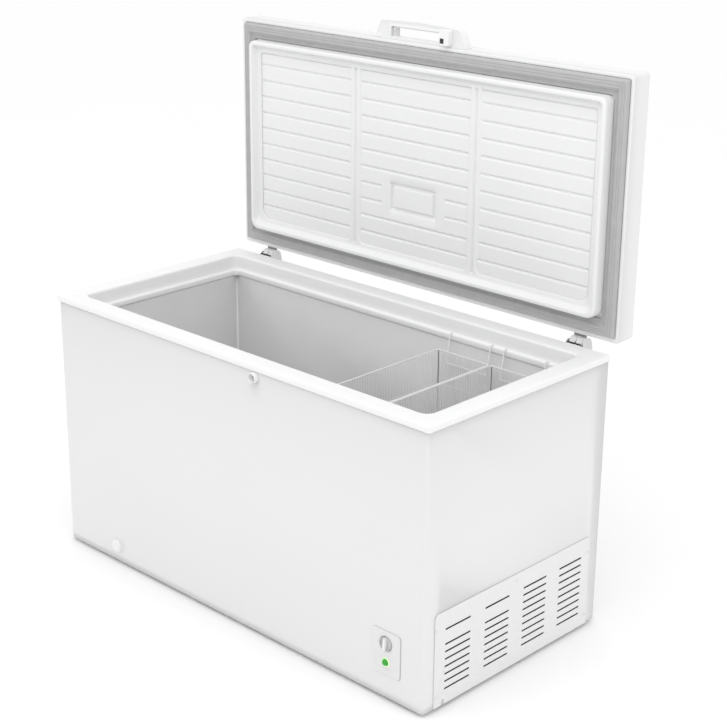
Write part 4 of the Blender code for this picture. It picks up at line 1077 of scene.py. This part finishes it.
def build_lid_panel():
    """Embossed floor of the recess, pressed from a grid whose lines gather at each feature."""
    grooves = [GROOVE_FIRST + sizes().groove_pitch * row for row in range(GROOVES)]
    ribs, middles, labels = [-RIB_X, RIB_X], [-MIDDLE_FIELD, MIDDLE_FIELD], [-LABEL_X, LABEL_X]
    sides = [sign * edge for edge in SIDE_FIELD for sign in (-1, 1)]
    xs = near(ribs, 0.0008, 0.0064) + near(middles, 0.0010, 0.010) + near(sides, 0.0010, 0.008)
    xs += near([-0.121, 0.121], 0.0010, 0.005) + near(labels, 0.0011, 0.0077)
    xs += near(sides + middles, 0.0022, 0.024)
    xs += [-PANEL_HALF_X, PANEL_HALF_X, 0.0, -0.04, 0.04, -0.16, 0.16]
    xs += [sign * (0.27 + 0.03 * step) for step in range(12) for sign in (-1, 1)]
    ys = near(grooves, 0.0009, 0.0063) + near([-FIELD_Y, FIELD_Y], 0.0008, 0.0056)
    ys += near(LABEL_Y, 0.0011, 0.0077) + near([-0.252, 0.247], 0.0018, 0.009)
    ys += [-PANEL_HALF_Y, PANEL_HALF_Y]
    xs, ys = grid_lines(xs, PANEL_HALF_X), grid_lines(ys, PANEL_HALF_Y)
    columns, rows = len(xs) - 1, len(ys) - 1
    bm = bmesh.new()
    for vert in bmesh.ops.create_grid(bm, x_segments=columns, y_segments=rows, size=1.0)["verts"]:
        x = xs[round((vert.co.x + 1) / 2 * columns)]
        y = ys[round((vert.co.y + 1) / 2 * rows)]
        vert.co = (x, y, LID_UNDER - PANEL_SET + panel_depth(x, y))
    bmesh.ops.reverse_faces(bm, faces=bm.faces)
    add_piece("lid_inner_panel", bm, "formed", "lid", ON_LID, thickness=0.0012,
              sharp=50,
              recalc=False)


def build_gasket():
    """Ribbed seal with mitred corners."""
    low, high = COLLAR_TOP + GAP, LID_UNDER - GAP
    section = [
        (0.0124, high), (0.0124, high - 0.0022), (0.0136, high - 0.0040), (0.0140, low + 0.0046),
        (0.0150, low + 0.0022), (0.0168, low + 0.0006), (0.0196, low), (0.0214, low + 0.0003),
        (0.0222, low + 0.0014), (0.0230, low + 0.0003), (0.0262, low + 0.0001), (0.0290, low + 0.0003),
        (0.0298, low + 0.0016), (0.0306, low + 0.0004), (0.0340, low + 0.0003), (0.0368, low + 0.0006),
        (0.0376, low + 0.0018), (0.0384, low + 0.0010), (0.0404, low + 0.0024), (0.0416, low + 0.0052),
        (0.0424, high - 0.0034), (0.0440, high - 0.0022), (0.0480, high - 0.0018), (0.0488, high - 0.0010),
        (0.0496, high - 0.0018), (0.0562, high - 0.0016), (0.0562, high),
    ]
    corner = 0.0015
    bm = bmesh.new()
    rings = [ring(bm, LID_HALF_W - inset, LID_HALF_D - inset, corner, corner, z, 1) for inset, z in section]
    loft(bm, rings + rings[:1])
    add_piece("seal", bm, "seal", "lid", ON_LID, ["lid_gasket"], sharp=38)


def build_handle():
    """Arched handle with a flared finger opening, an inset face, and a grey ring round the opening that
    paints the shade lines at its edges.
    """
    low, high = LID_UNDER + 0.001, LID_UNDER + 0.029
    front = -LID_HALF_D - GAP
    shoulder, reach, crown, crown_steps = 0.1360, 0.0495, 0.0044, 12
    side = [(0.1475, front - 0.0430), (0.1430, front - 0.0475), (shoulder, front - reach)]
    arch = [(shoulder - 2 * shoulder * step / crown_steps,
             front - reach - crown * math.sin(math.pi * step / crown_steps)) for step in range(1,
                                                                                               crown_steps)]
    outline = [(-0.166, front), (0.166, front), *side, *arch, *((-x, y) for x, y in reversed(side))]
    hole = rectangle(-0.096, 0.096, front - 0.0035, front - 0.0340, "XY", low)
    bm = plate([(x, y, low) for x, y in outline], [hole], (0, 0, high - low), hole_corner=0.007, segments=5)
    for vert in bm.verts:
        x, y = vert.co.x, vert.co.y
        in_hole = abs(x) < 0.0975 and front - 0.035 < y < front - 0.003
        if in_hole and vert.co.z < low + 1e-4:
            vert.co.x += 0.009 * max(-1.0, min(1.0, x / 0.090)) if abs(x) > 0.08 else 0.0
            vert.co.y += -0.0022 if y < front - 0.02 else 0.0
    facing = [f for f in bm.faces if abs(f.normal.z) > 0.9 and f.calc_center_median().z < low + 1e-4]
    bmesh.ops.recalc_face_normals(bm, faces=bm.faces)
    bmesh.ops.inset_region(bm, faces=facing, thickness=0.0085, depth=-0.0020, use_boundary=True,
                           use_even_offset=True)
    add_piece("handle", bm, "handle_white", "lid", ON_LID, ["lid_handle"], bevel=0.0020,
              sharp=40)
    # Grey ring lining the finger opening: painted shade along the edges of the hole.
    inner = rectangle(-0.0975, 0.0975, front - 0.0020, front - 0.0355, "XY", low + 0.0030)
    mouth = rectangle(-0.0945, 0.0945, front - 0.0047, front - 0.0328, "XY", low + 0.0030)
    hole_shade = plate(inner, [mouth], (0, 0, 0.0200), corner=0.0075, hole_corner=0.0062, segments=5)
    add_piece("handle_hole_shade_ring", hole_shade, "hole_shade_grey", "lid", ON_LID, bevel=0.0004)
    stud = block((-0.157, front - 0.0095, low - 0.0016), (-0.143, front - 0.0020, low + 0.004), 0.0014)
    add_piece("handle_foot_stud", stud, "moulding", "lid", ON_LID)


def build_catch():
    """Box for the lock's tongue, its socket filled with a black block that paints the shade inside the
    opening.
    """
    low_x, high_x = 0.087, 0.120
    front = -LID_HALF_D - GAP
    low_z, high_z = LID_UNDER - 0.0155, LID_UNDER + 0.0142
    near_y, far_y = front - 0.0058, front - 0.0477
    shell = bmesh.new()
    outline_loop(shell, rectangle(low_x, high_x, near_y, far_y, "XY", low_z), 0.0045, 5)
    outline_loop(shell, rectangle(low_x + 0.0016, low_x + 0.0160, near_y - 0.0040, near_y - 0.0180, "XY",
                                  low_z),
                 0.0008, 2)
    fill_and_push(shell, (0, 0, high_z - low_z))
    add_piece("catch_box", shell, "moulding", "lid", ON_LID, ["lock_catch"], bevel=0.0016)
    # Black block inside the socket: painted shade of the opening.
    inside = block((low_x + 0.0013, near_y - 0.0183, low_z + 0.0022),
                   (low_x + 0.0163, near_y - 0.0037, high_z - 0.001),
                   0.0004, "Z", 2)
    add_piece("catch_socket_shade", inside, "black_plastic", "lid", ON_LID)


# ---- hinges ------------------------------------------------------------------------------------


HINGE_X = 0.595


def build_hinge_bracket(side, x):
    """Plate on the rear sheet with two ears, and the pin between them."""
    back = HALF_D
    base = block((x - 0.030, back + GAP, 0.600), (x + 0.030, back + 0.0028, 0.742), 0.0006, segments=2)
    ear = [(back + 0.0020, 0.690), (AXIS_Y + 0.004, 0.690), (AXIS_Y + 0.0118, 0.700),
           (AXIS_Y + 0.0118, 0.750)]
    ear += [(AXIS_Y + 0.0092 * math.cos(a), AXIS_Z + 0.0086 * math.sin(a)) for a in (0.0, 0.5, 1.0, 1.57, 2.1,
                                                                                     2.7)]
    ear += [(back + 0.0054, AXIS_Z - 0.001), (back + 0.0054, 0.7485), (back + 0.0020, 0.7470)]
    for low_x in (x - 0.0285, x + 0.0195):
        merge(base, plate([(low_x, y, z) for y, z in ear], [], (0.0025, 0, 0)))
    add_piece(f"hinge_bracket_{side}", base, "zinc", "cabinet", replaces=[f"hinge_base_{side}"],
              bevel=0.0004)
    pin = turned(((0, -0.0330), (0.0034, -0.0330), (0.0046, -0.0318), (0.0048, -0.0280), (0.0040, -0.0268),
                  (0.0040, 0.0235), (0.0034, 0.0245), (0, 0.0245)), (x, AXIS_Y, AXIS_Z), "X", 32)
    add_piece(f"hinge_axle_{side}", pin, "dark_steel", "cabinet", replaces=[f"hinge_pin_{side}"])


def build_hinge_leaf(side, x):
    """Strap on the lid with painted light and shade on copies of its metal: a dark step under the lid as
    painted shade, two knuckles in a bright white copy as painted highlight, and black barrels round the pin
    as painted shade of the gap below the knuckles.
    """
    edge, left, middle, right = LID_HALF_D, x - 0.0240, (x - 0.0052, x - 0.0016), x + 0.0172
    # Dark step just under the lid: painted shade.
    step = block((left + 0.0004, edge + 0.0010, LID_UNDER + 0.0018),
                 (right - 0.0004, edge + 0.0090, LID_UNDER + 0.0044),
                 0.0008)
    add_piece(f"hinge_shade_step_{side}", step, "shaded_hinge_steel", "lid", ON_LID)
    # Barrels in blackened steel: painted shade of the gap below the knuckles.
    barrels = bmesh.new()
    knuckles = block((left, edge + 0.0078, LID_UNDER - 0.0022), (right, edge + 0.0102, LID_UNDER + 0.0042),
                     0.0008)
    for start, stop in ((left, middle[0]), (middle[1], right)):
        block((start, edge + 0.0076, AXIS_Z + 0.0010), (stop, edge + 0.0106, LID_UNDER + 0.0010), 0.0010,
              bm=knuckles)
        first, last = start - x, stop - x
        turned(((0.0042, first), (0.0046, first), (0.0048, first + 0.0006), (0.0048, last - 0.0006),
                (0.0046, last),
                (0.0042, last), (0.0042, first)), (x, AXIS_Y, AXIS_Z), "X", 32, barrels)
        block((start, edge + 0.0086, AXIS_Z + 0.0010), (stop, AXIS_Y, AXIS_Z + 0.0060), 0.0008, bm=knuckles)
        block((start, AXIS_Y - 0.0056, AXIS_Z - 0.0052), (stop, AXIS_Y - 0.0012, AXIS_Z + 0.0040), 0.0008,
              bm=knuckles)
    # Knuckles in a bright white copy of the hinge metal: painted highlight.
    add_piece(f"hinge_knuckles_{side}", knuckles, "plated", "lid", ON_LID)
    add_piece(f"hinge_shaded_barrels_{side}", barrels, "dark_steel", "lid", ON_LID)
    leaf = block((left, edge + GAP, LID_UNDER + 0.0020), (right, edge + GAP + 0.0025, LID_UNDER + 0.058),
                 0.0008,
                 segments=2)
    add_piece(f"hinge_strap_{side}", leaf, "zinc", "lid", ON_LID, [f"hinge_leaf_{side}"])


def build_hinge_cover(side):
    """Plastic shroud over the spring, with a rounded cheek beside the hinge."""
    low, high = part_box(f"hinge_cover_{side}")
    wall, top, lap, front = 0.0022, 0.7445, 0.0005, HALF_D + GAP
    left, right, rear, bottom = low[0], high[0], high[1] - CENTRE_Y, low[2] - BASE_Z
    cover = block((left, front, bottom), (left + wall, rear, top))
    block((right - wall, front, bottom), (right, rear, top), bm=cover)
    block((left + lap, rear - wall, bottom), (right - lap, rear, top), bm=cover)
    block((left + lap, front, bottom), (right - lap, rear - lap, bottom + wall), bm=cover)
    radius = 0.0218
    cheek = [(HALF_D + 0.0050, 0.7480), (HALF_D + 0.0006, 0.7480), (HALF_D + 0.0006, 0.720), (rear, 0.720),
             (rear, AXIS_Z - 0.008)]
    for step in range(9):
        angle = math.radians(10 + 17.5 * step)
        cheek.append((AXIS_Y + radius * math.cos(angle), AXIS_Z + radius * math.sin(angle)))
    cheek.append((AXIS_Y - 0.0172, AXIS_Z + 0.003))
    merge(cover, plate([(right - wall, y, z) for y, z in cheek], [], (wall, 0, 0)))
    add_piece(f"hinge_shroud_{side}", cover, "pale_plastic", "cabinet", replaces=[f"hinge_cover_{side}"],
              bevel=0.0007)


def build_spring(side, x):
    """Coiled lift spring."""
    turns, per_turn, radius, wire = 12, 16, 0.0070, 0.0012
    low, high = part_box(f"hinge_spring_{side}")
    bottom, top = low[2] - BASE_Z + 0.002, high[2] - BASE_Z - 0.002
    middle_y = (low[1] + high[1]) / 2 - CENTRE_Y
    steps = turns * per_turn
    coil = []
    for step in range(steps + 1):
        angle = 2 * math.pi * step / per_turn
        coil.append((x + radius * math.cos(angle), middle_y + radius * math.sin(angle),
                     bottom + (top - bottom) * step / steps))
    add_wires(f"lift_spring_{side}", [(coil, wire, False)], "zinc", "cabinet", [f"hinge_spring_{side}"])


# ---- baskets -----------------------------------------------------------------------------------

# Where each basket's two hooks stand, and the outline that both baskets share.
BASKETS = {"left": (0.2350, 0.3790), "right": (0.4270, 0.5660)}
BASKET_END, BASKET_RIM = 0.2650, 0.680
HOOK_TIP, HOOK_KNEE, HOOK_Z = 0.2895, 0.2790, 0.7275


def basket_wires(low_x, high_x, end_y, floor, rim):
    """The upright and lengthwise wires of a basket, as runs."""
    fine, pitch, inset, bow = sizes().wire_radius, sizes().wire_pitch, 0.0022, 0.008
    left, right, width = low_x + inset, high_x - inset, high_x - low_x
    runs = []
    count = round(2 * end_y / pitch)
    for index in range(1, count):
        y = -end_y + 2 * end_y * index / count
        hoop = [(left, y, rim), (left, y, floor), (right, y, floor), (right, y, rim)]
        runs.append((bend(hoop, bow, 2), fine, False))
    count = round(width / pitch)
    for index in range(1, count):
        x = low_x + width * index / count
        for sign in (-1, 1):
            wall = sign * (end_y - inset)
            runs.append((bend([(x, wall, rim), (x, wall, floor), (x, sign * (end_y - 0.05), floor)], bow, 2),
                         fine,
                         False))
    for share in (0.25, 0.5, 0.75):
        x, z = low_x + width * share, floor + 0.0022
        runs.append(([(x, -end_y + 0.004, z), (x, end_y - 0.004, z)], fine * 1.5, False))
    for x in (low_x + 0.004, high_x - 0.004):
        for y in (-end_y + 0.004, end_y - 0.004):
            runs.append(([(x, y, floor + 0.004), (x, y, rim)], 0.0014, False))
    return runs


def build_basket(side, hooks):
    """Rim, fine wires, a hanger at each end, and dark strips by the corners that paint the shade of the gaps
    there.
    """
    low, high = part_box(f"basket_{side}")
    fine, thick = sizes().wire_radius, sizes().rim_radius
    low_x = low[0] + (thick if side == "left" else 0.0004)
    high_x = high[0] - (thick if side == "right" else 0.0004)
    end_y = BASKET_END - thick
    rim, floor = BASKET_RIM - thick, low[2] - BASE_Z + thick
    body = f"basket_{side}"
    runs = []
    for inset, z, radius in ((0.0, rim, thick), (0.0012, (rim + floor) / 2, fine * 1.5),
                             (0.0040, floor + 0.004, fine * 1.7)):
        outline = rounded_rectangle(low_x + inset, high_x - inset, end_y - inset, 0.008, 0.008, 4)
        runs.append(([(x, y, z) for x, y in outline], radius, True))
    runs += basket_wires(low_x, high_x, end_y, floor, rim)
    left, right = hooks
    for end in (-1, 1):
        tip, knee, foot = HOOK_TIP * end, HOOK_KNEE * end, BASKET_END * end
        hanger = [(left, tip, HOOK_Z), (left, knee, HOOK_Z), (left, foot, rim - 0.033),
                  (right, foot, rim - 0.033), (right, knee, HOOK_Z), (right, tip, HOOK_Z)]
        runs.append((bend(hanger, 0.0030, 4), 0.0020, False))
    add_wires(f"wire_basket_{side}", runs, "wire", body, [f"basket_{side}"], sides=1)
    # Dark strips beside the end corners: painted shade of the gap between the corner post and the mesh, not a
    # part of the basket.
    strips = bmesh.new()
    for near_y, far_y in ((end_y - 0.0040, end_y - 0.0026), (-end_y + 0.0026, -end_y + 0.0040)):
        block((low_x + 0.0055, near_y, floor + 0.006), (low_x + 0.0076, far_y, rim - 0.002), 0.0004, "Z", 2,
              strips)
    add_piece(f"basket_{side}_corner_shade_strips", strips, "corner_shade_strip", body)


# ---- machine compartment and carried-over nodes -----------------------------------------------

# The nodes that keep their own shape, by finish.
CARRIED = {
    "zinc": ("base_pan", "compressor_tray", "thermostat_body"),
    "foam": ("insulation",),
    "copper": ("evaporator_coil", "condenser_coil", "filter_drier", "discharge_tube", "suction_tube"),
    "black_plastic": ("cord_gland",),
    "moulding": ("drain_plug",),
}


def dress_carried_nodes():
    """Gives the carried nodes their finish."""
    for finish, nodes in CARRIED.items():
        for node in nodes:
            materials = frame["nodes"][node].data.materials
            materials.clear()
            materials.append(finish_of(finish))


def build_compressor():
    """Welded pot on its plate, with rubber feet and the terminal cover."""
    x, y = 0.555, 0.060
    tray_top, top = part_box("compressor_tray")[1][2] - BASE_Z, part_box("compressor")[1][2] - BASE_Z
    bottom = tray_top + 0.0189
    pot = block((x - 0.100, y - 0.075, bottom), (x + 0.100, y + 0.075, bottom + 0.003), 0.012, "Z", 5)
    turned(((0.060, bottom + 0.002), (0.074, bottom + 0.012), (0.0792, bottom + 0.030), (0.0796, top - 0.078),
            (0.0800, top - 0.074), (0.0800, top - 0.066), (0.0780, top - 0.062), (0.0765, top - 0.045),
            (0.0680, top - 0.020), (0.0480, top - 0.006), (0.0240, top - 0.0010), (0, top)), (x, y, 0), "Z",
            56, pot)
    add_piece("motor_pot", pot, "compressor", "cabinet", replaces=["compressor"])
    feet = bmesh.new()
    low, high = tray_top + GAP, bottom - GAP
    foot = ((0.004, low), (0.0110, low), (0.0120, low + 0.002), (0.0118, low + 0.005), (0.0085, low + 0.008),
            (0.0118, high - 0.005), (0.0120, high - 0.002), (0.0105, high), (0.004, high), (0.004, low))
    for across in (-0.085, 0.085):
        for along in (-0.060, 0.060):
            turned(foot, (x + across, y + along, 0), "Z", 32, feet)
    add_piece("motor_feet", feet, "rubber", "cabinet")
    cover = block((x - 0.132, y - 0.030, 0.085), (x - 0.078, y + 0.030, 0.150), 0.006)
    block((x - 0.1325, y - 0.004, 0.110), (x - 0.1310, y + 0.004, 0.125), 0.0006, segments=2, bm=cover)
    add_piece("terminal_box", cover, "black_plastic", "cabinet")


def build_lid_core():
    """Foam between the lid's skin and its inner panel."""
    inset = 0.004
    core = block((-LID_HALF_W + inset, -LID_HALF_D + inset, LID_UNDER + 0.010),
                 (LID_HALF_W - inset, LID_HALF_D - inset, LID_TOP - inset), 0.010, segments=4)
    add_piece("lid_core", core, "foam", "lid", ON_LID, ["lid_foam"])


# ---- studio ------------------------------------------------------------------------------------


def aim(thing, place, target):
    """Stands a light or camera at a place, facing a target."""
    thing.location = place
    thing.rotation_euler = (Vector(target) - Vector(place)).to_track_quat("-Z", "Y").to_euler()


def add_softbox(name, place, target, power, side):
    """A square area light."""
    light = bpy.data.lights.new(name, "AREA")
    light.shape = "RECTANGLE"
    light.size, light.size_y, light.energy = side, side, power
    holder = bpy.data.objects.new(name, light)
    bpy.context.scene.collection.objects.link(holder)
    aim(holder, place, target)


def build_floor():
    """A wide pale floor."""
    floor = bmesh.new()
    bmesh.ops.create_grid(floor, x_segments=8, y_segments=8, size=60.0)
    mesh = bpy.data.meshes.new("studio_floor")
    floor.to_mesh(mesh)
    floor.free()
    mesh.materials.append(finish_of("paper"))
    ground = bpy.data.objects.new("studio_floor", mesh)
    bpy.context.scene.collection.objects.link(ground)


def build_lights(studio):
    """An even white surround and two softboxes."""
    world = bpy.data.worlds.new("even_surround")
    bpy.context.scene.world = world
    world.use_nodes = True
    backdrop = world.node_tree.nodes["Background"]
    backdrop.inputs["Color"].default_value = (1, 1, 1, 1)
    backdrop.inputs["Strength"].default_value = studio.surround
    add_softbox("overhead_softbox", (0.5, -1.2, 3.5), (0, 0, 0.7), studio.key_power, 2.6)
    add_softbox("side_softbox", (3.6, 0.4, 1.6), (0, 0, 0.6), studio.side_power, 2.2)


def build_camera(studio):
    """The camera on its sphere round the freezer."""
    azimuth, elevation = math.radians(studio.azimuth), math.radians(studio.elevation)
    target = Vector((0.0094, CENTRE_Y, BASE_Z + 0.6714))
    away = Vector((math.sin(azimuth) * math.cos(elevation), -math.cos(azimuth) * math.cos(elevation),
                   math.sin(elevation)))
    lens = bpy.data.cameras.new("camera")
    lens.lens = studio.lens
    lens.sensor_width = 36.0
    lens.shift_x, lens.shift_y = 0.0583, -0.0089
    camera = bpy.data.objects.new("camera", lens)
    bpy.context.scene.collection.objects.link(camera)
    aim(camera, target + away * studio.distance, target)
    bpy.context.scene.camera = camera
    bpy.context.scene.view_settings.view_transform = "Standard"
    bpy.context.scene.view_settings.look = "None"


# ---- operators ---------------------------------------------------------------------------------


class FREEZER_OT_cabinet(Operator):
    """Build the outer sheets, the collar, the tub and the feet"""

    bl_idname = "freezer.cabinet"
    bl_label = "Cabinet"

    def execute(self, context):
        build_cabinet_wrap()
        build_rear()
        build_collar()
        build_tub()
        build_feet()
        return {"FINISHED"}


class FREEZER_OT_fittings(Operator):
    """Build the louvred cover, the controls, the lock and the drain"""

    bl_idname = "freezer.fittings"
    bl_label = "Fittings"

    def execute(self, context):
        build_louvred_cover()
        build_control_panel()
        build_knob()
        build_lock()
        build_drain()
        return {"FINISHED"}


class FREEZER_OT_lid(Operator):
    """Build the lid's skin, inner panel, seal, handle and catch"""

    bl_idname = "freezer.lid"
    bl_label = "Lid"

    def execute(self, context):
        build_lid_shell()
        build_lid_core()
        build_lid_liner()
        build_lid_panel()
        build_gasket()
        build_handle()
        build_catch()
        return {"FINISHED"}


class FREEZER_OT_hinges(Operator):
    """Build both hinges with their springs and covers"""

    bl_idname = "freezer.hinges"
    bl_label = "Hinges"

    def execute(self, context):
        for side, x in (("left", -HINGE_X), ("right", HINGE_X)):
            build_hinge_bracket(side, x)
            build_hinge_leaf(side, x)
            build_hinge_cover(side)
            build_spring(side, x)
        return {"FINISHED"}


class FREEZER_OT_baskets(Operator):
    """Build the two hanging wire baskets"""

    bl_idname = "freezer.baskets"
    bl_label = "Baskets"

    def execute(self, context):
        for side, hooks in BASKETS.items():
            build_basket(side, hooks)
        return {"FINISHED"}


class FREEZER_OT_machine(Operator):
    """Build the compressor and finish the pieces that keep their own shape"""

    bl_idname = "freezer.machine"
    bl_label = "Machine compartment"

    def execute(self, context):
        build_compressor()
        dress_carried_nodes()
        return {"FINISHED"}


class FREEZER_OT_studio(Operator):
    """Set up the floor, the lights and the camera"""

    bl_idname = "freezer.studio"
    bl_label = "Studio"

    def execute(self, context):
        studio = context.scene.freezer_studio
        build_floor()
        build_lights(studio)
        build_camera(studio)
        return {"FINISHED"}


OPERATORS = (FREEZER_OT_cabinet, FREEZER_OT_fittings, FREEZER_OT_lid, FREEZER_OT_hinges, FREEZER_OT_baskets,
             FREEZER_OT_machine, FREEZER_OT_studio)


class FREEZER_PT_panel(Panel):
    """Sidebar with every setting and every operator"""

    bl_label = "Chest Freezer"
    bl_idname = "FREEZER_PT_panel"
    bl_space_type = "VIEW_3D"
    bl_region_type = "UI"
    bl_category = "Freezer"

    def draw(self, context):
        layout = self.layout
        titles = {"Sizes": "freezer_sizes", "Colours": "freezer_colours", "Studio": "freezer_studio"}
        for title, group in titles.items():
            box = layout.box()
            box.label(text=title)
            settings = getattr(context.scene, group)
            for name in settings.bl_rna.properties.keys():
                if name not in {"rna_type", "name"}:
                    box.prop(settings, name)
        for operator in OPERATORS:
            layout.operator(operator.bl_idname)


CLASSES = (FreezerSizes, FreezerColours, FreezerStudio, *OPERATORS, FREEZER_PT_panel)
GROUPS = {"freezer_sizes": FreezerSizes, "freezer_colours": FreezerColours, "freezer_studio": FreezerStudio}


def register():
    for cls in CLASSES:
        bpy.utils.register_class(cls)
    for name, group in GROUPS.items():
        setattr(bpy.types.Scene, name, PointerProperty(type=group))


def unregister():
    for name in GROUPS:
        delattr(bpy.types.Scene, name)
    for cls in reversed(CLASSES):
        bpy.utils.unregister_class(cls)


def main():
    register()
    bpy.ops.freezer.cabinet()
    bpy.ops.freezer.fittings()
    bpy.ops.freezer.lid()
    bpy.ops.freezer.hinges()
    bpy.ops.freezer.baskets()
    bpy.ops.freezer.machine()
    bpy.ops.freezer.studio()
    bpy.context.view_layer.update()


if __name__ == "__main__":
    main()
